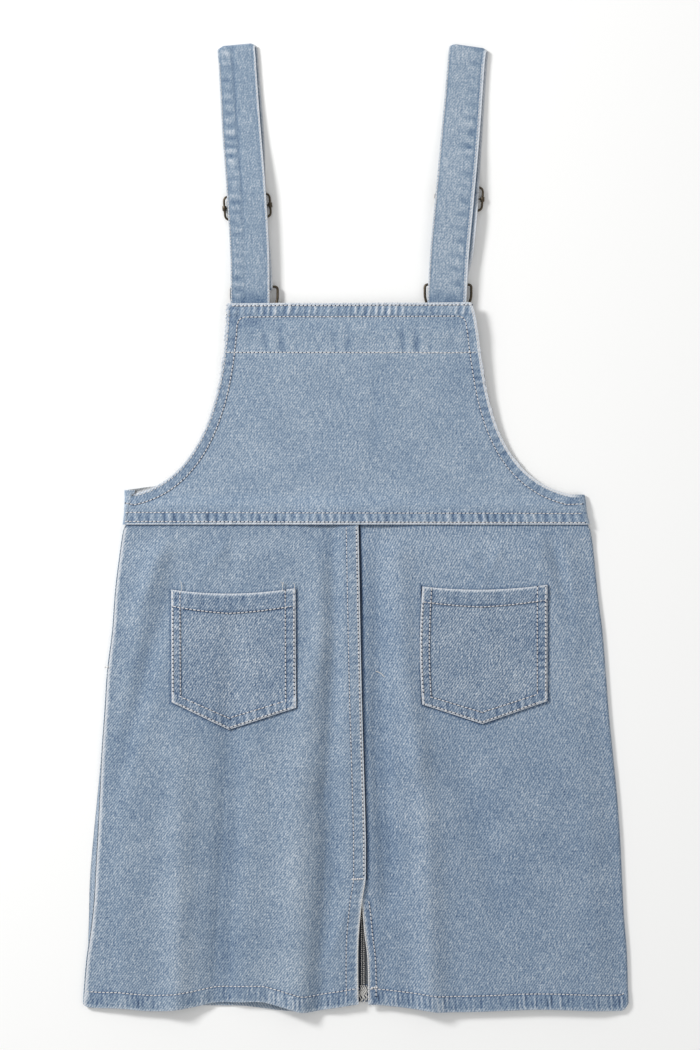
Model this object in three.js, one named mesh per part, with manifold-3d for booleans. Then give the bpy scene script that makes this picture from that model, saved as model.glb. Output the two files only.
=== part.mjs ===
// Denim pinafore dress laid flat on its front: back panels on top, front panels and hardware beneath.
// Millimetres, +Z up, floor at z = 0, +Y toward the shoulder straps, +X to the right as seen from above.
import * as THREE from 'three';
import Module from 'manifold-3d';

const wasm = await Module();
wasm.setup();

// Driving sizes
const CLOTH = 1.2; // wall of every single panel
const SEAM_GAP = 0.3; // clearance between two pieces that touch
const EDGE_STACK = 3.0; // outer thickness of the skirt where it turns at a side
const WAIST_STACK = 6.0; // outer thickness of the bib where it covers the top of the skirt
const WAIST_Y = 2.7; // lower edge of both bibs
const TUCK_Y = 14.0; // top edge of the skirt, hidden under the bib
const HEM_Y = -430.0; // level that the hem curve is scaled from
const UNDER_WRAP = 4.0; // width of back cloth turned under along the right side
const STRAP_WIDTH = 34.8;
const STRAP_FOLD_WIDTH = 33.4; // width as seen where it cups at the shoulder fold
const STRAP_THICK = 1.6;
const WIRE = 2.3; // wire of the buckles
const SLIDE_WIRE = 2.0;
const BUTTON_SIZE = 17.0;
const LAP_SLACK = 0.2; // extra room where one back panel laps the other
const BIB_SLACK = 0.3; // the same where the bib rides over that lap
const POCKET_SLACK = 0.05;

const DENIM = 0x8a99ab;
const METAL = 0x4a4238;

// Rows of a table as objects with named columns
function named(columns, rows) {
  const keys = columns.split(' ');
  return rows.map((row) => Object.fromEntries(row.map((value, k) => [keys[k], value])));
}

// Outer edges of the laid dress below the waist
const SIDES = [
  { y: 31, left: -207.4, right: 206.0 }, { y: 24.8, left: -207.2, right: 207.4 },
  { y: 14, left: -207.7, right: 208.6 }, { y: 3.2, left: -208.9, right: 211.0 },
  { y: -2.2, left: -209.7, right: 211.9 }, { y: -20.2, left: -212.4, right: 214.6 },
  { y: -56.2, left: -216.9, right: 218.2 }, { y: -92.2, left: -219.6, right: 222.7 },
  { y: -128.2, left: -224.1, right: 225.7 }, { y: -164.2, left: -226.8, right: 228.4 },
  { y: -200.2, left: -230.4, right: 232.0 }, { y: -236.2, left: -233.1, right: 235.6 },
  { y: -272.2, left: -235.8, right: 238.3 }, { y: -308.2, left: -238.5, right: 240.1 },
  { y: -344.2, left: -240.3, right: 241.9 }, { y: -380.2, left: -243.0, right: 244.6 },
  { y: -416.2, left: -244.8, right: 245.7 }, { y: -436, left: -245.6, right: 246.5 },
];

// Height of the hem edge, back and front, across the dress
const HEM = [
  { x: -246, back: -423.5, front: -423.5 }, { x: -244, back: -429, front: -429 },
  { x: -240, back: -431.4, front: -431.4 }, { x: -211, back: -432.2, front: -431 },
  { x: -180, back: -434.3, front: -432.6 }, { x: -148, back: -431.1, front: -429.9 },
  { x: -126, back: -427.1, front: -429.8 }, { x: -103, back: -426.6, front: -430.0 },
  { x: -84, back: -426.2, front: -432.0 }, { x: -72, back: -428.9, front: -433.6 },
  { x: -58, back: -432.5, front: -435.0 }, { x: -46, back: -435.2, front: -435.2 },
  { x: -18, back: -431.6, front: -430.3 }, { x: 3, back: -428.4, front: -426.6 },
  { x: 22, back: -428.9, front: -427.1 }, { x: 66, back: -433.8, front: -432.2 },
  { x: 76, back: -435.2, front: -433.6 }, { x: 112, back: -434.9, front: -433.4 },
  { x: 166, back: -433.0, front: -431.4 }, { x: 220, back: -434.5, front: -433.4 },
  { x: 240, back: -434.3, front: -434.3 }, { x: 243.6, back: -431.6, front: -431.6 },
  { x: 246, back: -427, front: -427 },
];

// Centre-back seam: edge of the upper (left) panel and hidden or open edge of the lower (right) panel
const CENTRE = [
  { y: 14, upper: 2.9, lower: -8.1 }, { y: -146, upper: 6.0, lower: -5.0 },
  { y: -263, upper: 9.3, lower: -1.7 }, { y: -314, upper: 9.8, lower: -1.2 },
  { y: -336, upper: 6.6, lower: 5.2 }, { y: -367, upper: 3.6, lower: 8.6 },
  { y: -389, upper: 3.0, lower: 11.2 }, { y: -436, upper: 3.4, lower: 11.9 },
];

// How far the left side seam is rolled onto the top face
const ROLL = [
  { y: 34, in: 7.4 }, { y: 14, in: 3.4 }, { y: 3, in: 2.0 }, { y: -65, in: 1.8 }, { y: -155, in: 2.0 },
  { y: -205, in: 3.2 }, { y: -317, in: 5.6 }, { y: -362, in: 4.2 }, { y: -390, in: 2.4 }, { y: -436, in: 1.0 },
];

// Folds of the back skirt: soft ridges (+) and troughs (-) through three points, with a height at each
const FOLDS = named('of x0 y0 h0 x1 y1 h1 x2 y2 h2 wide', [
  ['left band', -164, -187, 0.6, -165, -299, 1.6, -167, -440, 2.3, 15],
  ['left trough', -119, -92, -0.6, -122, -260, -1.2, -130, -440, -1.4, 15],
  ['mid top', -40, -36, 0.8, -35, -96, 1.6, -50, -163, 1.6, 15],
  ['mid low', -54, -180, 1.2, -69, -240, 1.9, -69, -440, 2.2, 14],
  ['seam trough', -24, -3, -0.6, -24, -140, -1.4, -40, -235, -1.2, 9],
  ['seam low', -38, -240, -1.0, -29, -305, -1.8, -42, -440, -1.4, 11],
  ['right trough', 14, -17, -0.4, 16, -187, -1.3, 28, -310, -1.4, 10],
  ['right top', 32, -21, 0.6, 37, -120, 1.2, 51, -210, 1.4, 14],
  ['right low', 51, -200, 0.6, 58, -290, 2.0, 62, -440, 2.2, 15],
  ['right sweep', 82, -187, -0.4, 103, -270, -1.0, 124, -352, -0.4, 18],
  ['hip crease', 172, -3, -0.9, 181, -40, -1.2, 189, -80, -0.4, 8],
  ['side trough', -168, -45, -0.6, -194, -130, -1.4, -219, -225, -0.8, 12],
  ['side band', -172, -3, 0.8, -188, -45, 1.0, -206, -84, 0.6, 11],
]);
const PUFF = 1.0; // how far the back stands off the front between the folds

// Height of the underside of each bib above the floor
const BIB_RISE = [
  { y: 0, front: 0, back: 4.8 }, { y: 19, front: 0, back: 4.8 }, { y: 30, front: 0, back: 3.0 },
  { y: 60, front: 0.6, back: 2.9 }, { y: 120, front: 3.0, back: 5.2 }, { y: 150, front: 5.0, back: 7.1 },
  { y: 164, front: 5.3, back: 7.6 }, { y: 178, front: 5.3, back: 8.7 }, { y: 205, front: 5.3, back: 8.7 },
];
const BACK_TOP_Y = 201.5;
const FRONT_TOP_Y = 192;

// Armhole edge as a cubic from the top corner to the underarm, measured from the middle line of the bib
const BIB_MID = -4.0;
const FRONT_CORNER = 0.085; // share of the armhole curve that the lower front corner leaves out
const ARMHOLE = { y0: 201.5, y3: 29.5 };
const ARM_SIDES = {
  left: { x0: 110.5, x1: 111.9, y1: 172, x2: 114.1, y2: 44.5, x3: 198 },
  right: { x0: 108.4, x1: 122.5, y1: 172, x2: 108.6, y2: 49.2, x3: 198 },
};
const FRONT_TAB_RISE = 4.2; // how much higher the front piece stands at the left underarm

// Patch pocket outlines, clockwise from the upper left corner
const POCKET_LEFT = [
  { x: -165.0, y: -55.8 }, { x: -138, y: -57.6 }, { x: -111.6, y: -59.2 }, { x: -82, y: -57.0 },
  { x: -53.3, y: -54.4 }, { x: -54.6, y: -108 }, { x: -56.2, y: -161.6 }, { x: -113.8, y: -181.7 },
  { x: -163.5, y: -156.8 }, { x: -164.4, y: -106 },
];
const POCKET_RIGHT = [
  { x: 60.5, y: -52.9 }, { x: 90, y: -54.8 }, { x: 118.5, y: -55.8 }, { x: 146, y: -54.2 },
  { x: 172.7, y: -51.4 }, { x: 172.4, y: -104 }, { x: 171.7, y: -155.8 }, { x: 114.2, y: -176.3 },
  { x: 65.9, y: -158.8 }, { x: 61.2, y: -137 }, { x: 58.5, y: -74 },
];

// Straps: plan of the back part (root to fold) and of the front part (fold to buckle)
const STRAPS = {
  left: {
    foldSlope: 0.09, foldY: 435.2, slide: { x: -96.8, y: 288.4, turn: 0.08 }, buckle: { x: -90.4, top: 217.5 },
    back: named('y x', [[185, -94.2], [240, -94.4], [300, -97.6], [360, -102.2], [436, -107.0]]),
    front: named('y x', [[205, -91.5], [222, -91.6], [244, -93.0], [288, -96.8], [350, -99.0], [436, -104.6]]),
  },
  right: {
    foldSlope: -0.14, foldY: 434.2, slide: { x: 94.0, y: 296.5, turn: -0.07 }, buckle: { x: 83.6, top: 219.5 },
    back: named('y x', [[185, 81.7], [240, 84.3], [300, 89.7], [360, 95.2], [436, 101.3]]),
    front: named('y x', [[205, 83.6], [222, 83.8], [246, 88.6], [296, 93.4], [350, 97.0], [436, 103.6]]),
  },
};

// Height of the strap's underside: back part by y, front part and return by distance from the slide's bar
const BACK_PART = [
  { y: 185, z: 6.8 }, { y: 204, z: 6.85 }, { y: 222, z: 7.3 }, { y: 262, z: 7.8 }, { y: 300, z: 8.0 },
  { y: 322, z: 6.6 }, { y: 350, z: 4.4 }, { y: 390, z: 2.8 }, { y: 425, z: 2.5 },
];
const FRONT_PART = named('y z', [
  [100, 0], [34, 0], [21, 2.0], [12.5, 4.0], [9.5, 4.0], [0.8, 0], [-0.8, 0], [-9.5, 4.0], [-12.5, 4.0],
  [-24, 1.6], [-40, 0.6], [-90, 0.6],
]);
const RETURN_PART = named('y z', [[-90, 5.2], [-44, 5.3], [-24, 5.9], [-9, 5.9], [-1.5, 3.9], [5, 3.9]]);
const FOLD_FRONT_Z = 0;
const FOLD_BACK_Z = 2.5;
const FOLD_SET_BACK = 1.0; // the cupped fold's middle lies this far inside its rim
const FOLD_BULGE = 0.25;

const mix = (a, b, t) => a + (b - a) * t;
const clamp = (v, lo, hi) => Math.min(hi, Math.max(lo, v));
const ease = (a, b, v) => {
  const t = clamp((v - a) / (b - a), 0, 1);
  return t * t * (3 - 2 * t);
};

// Reads a column of a table at a place, smoothly between its rows
function read(table, by, at, column) {
  const rising = table[table.length - 1][by] > table[0][by];
  const rows = rising ? table : [...table].reverse();
  const last = rows.length - 1;
  if (at <= rows[0][by]) return rows[0][column];
  if (at >= rows[last][by]) return rows[last][column];
  let k = 0;
  while (rows[k + 1][by] < at) k += 1;
  const slope = (i) => {
    const a = rows[Math.max(0, i - 1)];
    const b = rows[Math.min(last, i + 1)];
    return (b[column] - a[column]) / (b[by] - a[by]);
  };
  const span = rows[k + 1][by] - rows[k][by];
  const t = (at - rows[k][by]) / span;
  const from = rows[k][column];
  const to = rows[k + 1][column];
  const smooth = (2 * t ** 3 - 3 * t ** 2 + 1) * from + (t ** 3 - 2 * t ** 2 + t) * span * slope(k)
    + (3 * t ** 2 - 2 * t ** 3) * to + (t ** 3 - t ** 2) * span * slope(k + 1);
  return clamp(smooth, Math.min(from, to), Math.max(from, to));
}

const root = new THREE.Group();

function add(name, geometry, color, metal) {
  geometry.computeVertexNormals();
  const finish = metal ? { roughness: 0.4, metalness: 1 } : { roughness: 0.92, metalness: 0 };
  const material = new THREE.MeshStandardMaterial({ color, ...finish });
  const mesh = new THREE.Mesh(geometry, material);
  mesh.name = name;
  root.add(mesh);
}

// Closed wall from two equal grids of points, columns by rows
function wall(outer, inner) {
  const nc = outer.length;
  const nr = outer[0].length;
  const points = [...outer.flat(), ...inner.flat()];
  const id = (side, c, r) => side * nc * nr + c * nr + r;
  const tris = [];
  const quad = (a, b, c, d) => tris.push([a, b, c], [a, c, d]);
  for (let c = 0; c < nc - 1; c += 1) {
    for (let r = 0; r < nr - 1; r += 1) {
      quad(id(0, c, r), id(0, c + 1, r), id(0, c + 1, r + 1), id(0, c, r + 1));
      quad(id(1, c, r), id(1, c, r + 1), id(1, c + 1, r + 1), id(1, c + 1, r));
    }
  }
  for (let c = 0; c < nc - 1; c += 1) {
    quad(id(0, c, 0), id(1, c, 0), id(1, c + 1, 0), id(0, c + 1, 0));
    quad(id(0, c + 1, nr - 1), id(1, c + 1, nr - 1), id(1, c, nr - 1), id(0, c, nr - 1));
  }
  for (let r = 0; r < nr - 1; r += 1) {
    quad(id(0, 0, r + 1), id(1, 0, r + 1), id(1, 0, r), id(0, 0, r));
    quad(id(0, nc - 1, r), id(1, nc - 1, r), id(1, nc - 1, r + 1), id(0, nc - 1, r + 1));
  }
  return outward(points, tris);
}

// Indexed geometry with its faces turned outward
function outward(points, tris) {
  let volume = 0;
  for (const [a, b, c] of tris) {
    const [p, q, s] = [points[a], points[b], points[c]];
    volume += p[0] * (q[1] * s[2] - q[2] * s[1]) - p[1] * (q[0] * s[2] - q[2] * s[0])
      + p[2] * (q[0] * s[1] - q[1] * s[0]);
  }
  const index = tris.flatMap(([a, b, c]) => (volume > 0 ? [a, b, c] : [a, c, b]));
  const geometry = new THREE.BufferGeometry();
  geometry.setAttribute('position', new THREE.Float32BufferAttribute(points.flat(), 3));
  geometry.setIndex(index);
  return geometry;
}

function toManifold(geometry) {
  return new wasm.Manifold(new wasm.Mesh({
    numProp: 3,
    vertProperties: new Float32Array(geometry.attributes.position.array),
    triVerts: new Uint32Array(geometry.index.array),
  }));
}

function fromManifold(solid) {
  const mesh = solid.getMesh();
  const geometry = new THREE.BufferGeometry();
  geometry.setAttribute('position', new THREE.BufferAttribute(new Float32Array(mesh.vertProperties), 3));
  geometry.setIndex(new THREE.BufferAttribute(new Uint32Array(mesh.triVerts), 1));
  return geometry;
}

const FOLD_SWAY = 0.3; // share of easing, against straight runs, between a fold's points
const FOLD_FALL = 1.4; // how fast a fold falls off across its width
const FOLD_END = { out: 28, in: 6 }; // a fold fades over this length past and before its end points

// One fold's height at a point: a soft ridge round a curve through its three points
function foldHeight(f, x, y) {
  const t = clamp((f.y0 - y) / (f.y0 - f.y2), 0, 1);
  const m = (f.y0 - f.y1) / (f.y0 - f.y2);
  const sway = (k) => mix(k, ease(0, 1, k), FOLD_SWAY);
  const bend = (a, b, c) => (t < m ? mix(a, b, sway(t / m)) : mix(b, c, sway((t - m) / (1 - m))));
  const off = (x - bend(f.x0, f.x1, f.x2)) / f.wide;
  const head = ease(f.y0 + FOLD_END.out, f.y0 - FOLD_END.in, y);
  const foot = f.y2 < HEM_Y ? 1 : ease(f.y2 - FOLD_END.out, f.y2 + FOLD_END.in, y);
  return bend(f.h0, f.h1, f.h2) * head * foot * Math.exp(-off * off * FOLD_FALL);
}

// How far the back skirt stands above its resting level
function lift(x, y) {
  const fromLeft = x - read(SIDES, 'y', y, 'left');
  const fromRight = read(SIDES, 'y', y, 'right') - x;
  const edges = ease(6, 34, fromLeft) * ease(4, 34, fromRight) * ease(0, -34, y);
  const folds = FOLDS.reduce((sum, f) => sum + foldHeight(f, x, y), 0);
  return Math.max(0, PUFF + folds) * edges;
}

// Resting level of the skirt: lifted inside the bib's seam, on the floor below it
const skirtLevel = (y) => (WAIST_STACK - EDGE_STACK) / 2 * ease(-20, 0, y);
const skirtInset = (y) => (CLOTH + SEAM_GAP) * ease(-3, WAIST_Y - 1.2, y);

// Point of a ring of cloth at one side: s runs along the top face to the turn (s = 0) and round beneath
function ringPoint(side, s, y, low, stack, edge, raise) {
  const radius = stack / 2;
  const start = edge - side * radius;
  const turn = Math.PI * radius;
  if (s <= 0) {
    const x = start + side * s;
    const z = low + stack + (raise ? raise(x, y) : 0);
    return [[x, y, z], [x, y, z - CLOTH]];
  }
  if (s >= turn) {
    const x = start - side * (s - turn);
    return [[x, y, low], [x, y, low + CLOTH]];
  }
  const a = s / radius;
  const at = (r) => [start + side * r * Math.sin(a), y, low + radius + r * Math.cos(a)];
  return [at(radius), at(radius - CLOTH)];
}

const SKIRT_ROWS = [TUCK_Y, 8, 2.6, -3, -10, -20, -36, -60, -85, -112, -140, -168, -196, -224, -252, -280, -304,
  -326, -344, -368, -392, -414, HEM_Y];
const TURN_STEPS = [0, 0.2, 0.4, 0.6, 0.8, 1];

function skirtPoint(side, place, rowY, hem) {
  const nominal = side < 0 ? 'left' : 'right';
  const edge = read(SIDES, 'y', rowY, nominal) - side * skirtInset(rowY);
  const s = place(edge, rowY);
  const probe = ringPoint(side, s, rowY, 0, EDGE_STACK, edge)[0][0];
  const y = rowY < 0 ? rowY * read(HEM, 'x', probe, hem) / HEM_Y : rowY;
  return ringPoint(side, s, y, skirtLevel(rowY), EDGE_STACK, edge, hem === 'back' ? lift : null);
}

function skirtPanel(side, places, hem) {
  const outer = [];
  const inner = [];
  for (const place of places) {
    const line = SKIRT_ROWS.map((y) => skirtPoint(side, place, y, hem));
    outer.push(line.map((p) => p[0]));
    inner.push(line.map((p) => p[1]));
  }
  return [outer, inner];
}

const half = EDGE_STACK / 2;
const turnLength = Math.PI * half;
const spread = (n) => Array.from({ length: n }, (_, k) => k / (n - 1));
const BACK_COLUMNS = 21;

const BEFORE_TURN = 0.05; // least width of a panel's flat strip before it turns

// Puts more columns near the centre seam, where the panels overlap
const bunch = (t) => mix(t, t * t, 0.35);

// Left back panel, from its centre seam edge, raised over the right panel, to the rolled side seam
const overlapRaise = (x, y) => {
  const upper = read(CENTRE, 'y', y, 'upper');
  const lower = read(CENTRE, 'y', y, 'lower');
  const covered = ease(-3, 0.2, upper - lower);
  return (CLOTH + SEAM_GAP + LAP_SLACK) * covered * ease(lower - 14, lower - 2, x);
};
const leftPlaces = spread(BACK_COLUMNS + 2).map((t) => (edge, y) => {
  const centre = edge + half - read(CENTRE, 'y', y, 'upper');
  const seam = -Math.max(read(ROLL, 'y', y, 'in') - half + SEAM_GAP, BEFORE_TURN);
  return mix(centre, seam, bunch(t));
});

function leftBack() {
  const outer = [];
  const inner = [];
  for (const place of leftPlaces) {
    const line = SKIRT_ROWS.map((rowY) => {
      const [o, i] = skirtPoint(-1, place, rowY, 'back');
      const up = overlapRaise(o[0], rowY);
      return [[o[0], o[1], o[2] + up], [i[0], i[1], i[2] + up]];
    });
    outer.push(line.map((p) => p[0]));
    inner.push(line.map((p) => p[1]));
  }
  return [outer, inner];
}

const rightPlaces = [
  ...spread(BACK_COLUMNS).slice(0, -1).map((t) => (edge, y) => {
    const lower = read(CENTRE, 'y', y, 'lower');
    return -(edge - half - lower) * (1 - bunch(t));
  }),
  ...TURN_STEPS.map((t) => () => t * turnLength),
  () => turnLength + UNDER_WRAP,
];

// Front panels lie on the floor and meet at the centre front; the left one turns up to the rolled seam
const CENTRE_FRONT_X = 6.5;
const FLAT_STEPS = [0, 0.25, 0.5, 0.75, 1];
const frontLeftPlaces = [
  (edge, y) => -Math.max(read(ROLL, 'y', y, 'in') - half, BEFORE_TURN),
  ...TURN_STEPS.map((t) => () => t * turnLength),
  ...FLAT_STEPS.slice(1).map((t) => (edge) => turnLength + t * (CENTRE_FRONT_X - SEAM_GAP / 2 - edge - half)),
];
const frontRightPlaces = FLAT_STEPS.map((t) => (edge) => turnLength
  + mix(edge - half - CENTRE_FRONT_X - SEAM_GAP / 2, UNDER_WRAP + SEAM_GAP, t));

const [leftOuter, leftInner] = leftBack();
const [rightOuter, rightInner] = skirtPanel(1, rightPlaces, 'back');
const backLeft = wall(leftOuter, leftInner);
const backRight = wall(rightOuter, rightInner);
add('back_skirt_left', backLeft, DENIM);
add('back_skirt_right', backRight, DENIM);
add('front_skirt_left', wall(...skirtPanel(-1, frontLeftPlaces, 'front')), DENIM);
add('front_skirt_right', wall(...skirtPanel(1, frontRightPlaces, 'front')), DENIM);

const CUTTER_HEIGHT = 30; // above every fold

// Patch pockets: the panel's own points, moved out, inside the pocket's outline
function pocket(panel, outline) {
  const plan = outline.map((p) => [p.x, p.y]).reverse();
  const cutter = wasm.Manifold.extrude([plan], CUTTER_HEIGHT);
  return fromManifold(toManifold(panel).translate([0, 0, CLOTH + SEAM_GAP + POCKET_SLACK]).intersect(cutter));
}
add('pocket_left', pocket(backLeft, POCKET_LEFT), DENIM);
add('pocket_right', pocket(backRight, POCKET_RIGHT), DENIM);

// Bibs
const armhole = (side, t, inset) => {
  const u = 1 - t;
  const c = ARM_SIDES[side < 0 ? 'left' : 'right'];
  const w = [u ** 3, 3 * u * u * t, 3 * u * t * t, t ** 3];
  return [w[0] * c.x0 + w[1] * c.x1 + w[2] * c.x2 + w[3] * c.x3 - inset * (1 - t),
    w[0] * ARMHOLE.y0 + w[1] * c.y1 + w[2] * c.y2 + w[3] * ARMHOLE.y3 - inset * t];
};
const ARM_STEPS = [0, 0.17, 0.34, 0.5, 0.64, 0.76, 0.88, 1];
const TOP_STEPS = spread(11);
// The back bib rides over the lap of the centre-back seam
const seamBump = (x, y) => (CLOTH + SEAM_GAP + BIB_SLACK) * ease(58, 24, Math.abs(x - BIB_MID))
  * ease(40, 14, y);
const ARM_FOOT = 118; // where the column under the bib's top corner meets the waist
const BIB_ROWS = [0, 0.058, 0.12, 0.22, 0.36, 0.5, 0.62, 0.73, 0.83, 0.92, 1];

function bibPanel(kind) {
  const isBack = kind === 'back';
  const inset = isBack ? 0 : 1.6;
  const topY = isBack ? BACK_TOP_Y : FRONT_TOP_Y;
  const level = (y, x) => read(BIB_RISE, 'y', y, kind) + (isBack ? seamBump(x, y) : 0);
  const stackAt = (y) => read(BIB_RISE, 'y', y, 'back') + CLOTH;
  const edgeAt = (side, y) => read(SIDES, 'y', y, side < 0 ? 'left' : 'right');
  const columns = [];
  const flat = (foot, head) => columns.push((v) => {
    const x = mix(foot[0], head[0], v);
    const y = mix(foot[1], head[1], v);
    const z = level(y, x);
    return isBack ? [[x, y, z + CLOTH], [x, y, z]] : [[x, y, z], [x, y, z + CLOTH]];
  });
  const turned = (side, t, headY, extra) => columns.push((v) => {
    const y = mix(WAIST_Y, headY, v);
    const stack = stackAt(y);
    const s = t * Math.PI * stack / 2 + (extra ? extra(y, stack) : 0);
    return ringPoint(side, s, y, 0, stack, edgeAt(side, y));
  });
  const sideFoot = (side, back) => {
    const y = WAIST_Y;
    const stack = stackAt(y);
    const rolled = Math.max(read(ROLL, 'y', y, 'in'), stack / 2) + SEAM_GAP;
    if (side < 0) return edgeAt(-1, y) + (back ? rolled : stack / 2);
    return edgeAt(1, y) - stack / 2 - (back ? 0 : UNDER_WRAP + SEAM_GAP);
  };
  const tabRise = (side) => (!isBack && side < 0 ? FRONT_TAB_RISE + inset : 0);
  const arm = (side, steps) => steps.forEach((t) => {
    const [ax, ay] = armhole(side, isBack ? t : mix(FRONT_CORNER, 1, t), inset);
    const foot = side * mix(ARM_FOOT, Math.abs(sideFoot(side, isBack) - BIB_MID), t * t);
    const head = side * Math.min(ax, Math.abs(sideHead(side, isBack) - BIB_MID));
    flat([BIB_MID + foot, WAIST_Y], [BIB_MID + head, ay + tabRise(side) * ease(0.84, 0.98, t)]);
  });
  const sideHead = (side, back) => {
    const y = ARMHOLE.y3;
    const stack = stackAt(y);
    if (side < 0) return edgeAt(-1, y) + (back ? read(ROLL, 'y', y + 4, 'in') + SEAM_GAP : stack / 2);
    return edgeAt(1, y) - stack / 2 - (back ? 0 : UNDER_WRAP + SEAM_GAP);
  };
  const tab = ARMHOLE.y3 - inset;
  if (!isBack) {
    const rolledIn = (y, stack) => -Math.max(read(ROLL, 'y', y, 'in') - stack / 2, BEFORE_TURN);
    turned(-1, 0, tab + tabRise(-1), rolledIn);
    TURN_STEPS.forEach((t) => turned(-1, t, tab + tabRise(-1)));
    arm(-1, [...ARM_STEPS].reverse().slice(1));
  } else {
    arm(-1, [...ARM_STEPS].reverse());
  }
  TOP_STEPS.slice(1, -1).forEach((t) => {
    const head = mix(-ARM_SIDES.left.x0 + inset, ARM_SIDES.right.x0 - inset, t);
    flat([BIB_MID + mix(-1, 1, t) * ARM_FOOT, WAIST_Y], [BIB_MID + head, topY]);
  });
  arm(1, isBack ? ARM_STEPS.slice(0, -1) : ARM_STEPS);
  if (isBack) {
    TURN_STEPS.forEach((t) => turned(1, t, tab));
    turned(1, 1, tab, () => UNDER_WRAP);
  }
  const grid = columns.map((column) => BIB_ROWS.map((v) => column(v)));
  return wall(grid.map((line) => line.map((p) => p[0])), grid.map((line) => line.map((p) => p[1])));
}
add('back_bib', bibPanel('back'), DENIM);
add('front_bib', bibPanel('front'), DENIM);

// Straps: one ribbon from its root, round the shoulder fold, through the slide, round the buckle's bar, back
function strapPath(strap) {
  const path = [];
  const t = STRAP_THICK;
  const { slide, buckle, foldY } = strap;
  const push = (plan, y, z) => {
    path.push({ x: read(plan, 'y', y, 'x'), y, z: z + t / 2, front: plan === strap.front });
  };
  for (let y = 185; y <= 420; y += y < 290 ? 15 : 10) push(strap.back, y, read(BACK_PART, 'y', y, 'z'));
  const r = (FOLD_BACK_Z - FOLD_FRONT_Z) / 2;
  for (const k of spread(9)) {
    const a = Math.PI * k;
    const bulge = 1 + FOLD_BULGE * Math.sin(a);
    const z = mix(FOLD_BACK_Z, FOLD_FRONT_Z, (1 - Math.cos(a)) / 2);
    path.push({ x: mix(read(strap.back, 'y', foldY, 'x'), read(strap.front, 'y', foldY, 'x'), k),
      y: foldY - t / 2 - r * bulge * (1 - Math.sin(a)) - FOLD_SET_BACK, z: z + t / 2 });
  }
  for (let d = foldY - slide.y - 12; d > 40; d -= 20) push(strap.front, slide.y + d, 0);
  const front = [34, 27, 21, 16, 12.5, 9.5, 6.5, 3.5, 0.8, -0.8, -3.5, -6.5, -9.5, -12.5, -18, -24, -32, -40];
  front.forEach((d) => push(strap.front, slide.y + d, read(FRONT_PART, 'y', d, 'z')));
  const barY = buckle.top - WIRE / 2;
  const low = FRONT_PART[FRONT_PART.length - 1].z;
  const high = RETURN_PART[0].z;
  push(strap.front, barY + 10, low);
  const bend = (high - low) / 2;
  for (const k of spread(9)) {
    const a = Math.PI * k;
    const y = barY - bend * Math.sin(a);
    push(strap.front, y, (low + high) / 2 - bend * Math.cos(a));
  }
  [-44, -34, -24, -16, -9, -5, -1.5, 5].forEach((d) => {
    if (slide.y + d > barY + 5) push(strap.front, slide.y + d, read(RETURN_PART, 'y', d, 'z'));
  });
  return path;
}

function ribbon(path, slopeAt) {
  const outer = [[], []];
  const inner = [[], []];
  path.forEach((p, k) => {
    const a = path[Math.max(0, k - 1)];
    const b = path[Math.min(path.length - 1, k + 1)];
    const length = Math.hypot(b.y - a.y, b.z - a.z);
    const n = [-(b.z - a.z) / length, (b.y - a.y) / length];
    const slope = slopeAt(p);
    const w = mix(STRAP_WIDTH, STRAP_FOLD_WIDTH, ease(330, 425, p.y)) / 2 / Math.hypot(1, slope);
    [-1, 1].forEach((side, c) => {
      const x = p.x + side * w;
      const y = p.y + side * w * slope;
      outer[c].push([x, y + n[0] * STRAP_THICK / 2, p.z + n[1] * STRAP_THICK / 2]);
      inner[c].push([x, y - n[0] * STRAP_THICK / 2, p.z - n[1] * STRAP_THICK / 2]);
    });
  });
  return wall(outer, inner);
}

// Wire bent along a closed outline in plan
function wireLoop(points, diameter, sides, z) {
  const curve = new THREE.CurvePath();
  const corner = points.map((p) => new THREE.Vector3(p.x, p.y, z));
  const n = corner.length;
  const at = (k, toward) => {
    const from = corner[k];
    const gap = corner[toward].clone().sub(from);
    const cut = Math.min(points[k].round, gap.length() / 2.02);
    return from.clone().add(gap.setLength(cut));
  };
  for (let k = 0; k < n; k += 1) {
    const prev = (k + n - 1) % n;
    const next = (k + 1) % n;
    curve.add(new THREE.QuadraticBezierCurve3(at(k, prev), corner[k], at(k, next)));
    curve.add(new THREE.LineCurve3(at(k, next), at(next, k)));
  }
  const steps = [];
  curve.curves.forEach((c, k) => {
    const count = k % 2 === 0 ? 4 : 1;
    for (let i = 0; i < count; i += 1) steps.push([c.getPoint(i / count), c.getTangent(i / count + 1e-4)]);
  });
  const points3 = [];
  steps.forEach(([p, t]) => {
    const across = new THREE.Vector3(-t.y, t.x, 0).normalize();
    for (let s = 0; s < sides; s += 1) {
      const a = 2 * Math.PI * s / sides;
      points3.push([p.x + across.x * Math.cos(a) * diameter / 2, p.y + across.y * Math.cos(a) * diameter / 2,
        p.z + Math.sin(a) * diameter / 2]);
    }
  });
  const tris = [];
  const id = (k, s) => (k % steps.length) * sides + (s % sides);
  for (let k = 0; k < steps.length; k += 1) {
    for (let s = 0; s < sides; s += 1) {
      tris.push([id(k, s), id(k + 1, s), id(k + 1, s + 1)], [id(k, s), id(k + 1, s + 1), id(k, s + 1)]);
    }
  }
  return outward(points3, tris);
}

const SLIDE = { halfWide: 20.6, halfTall: 10.6, level: 2.7, bar: 1.6, knob: 3.8, knobLong: 4.4, knobX: 20.6 };

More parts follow.
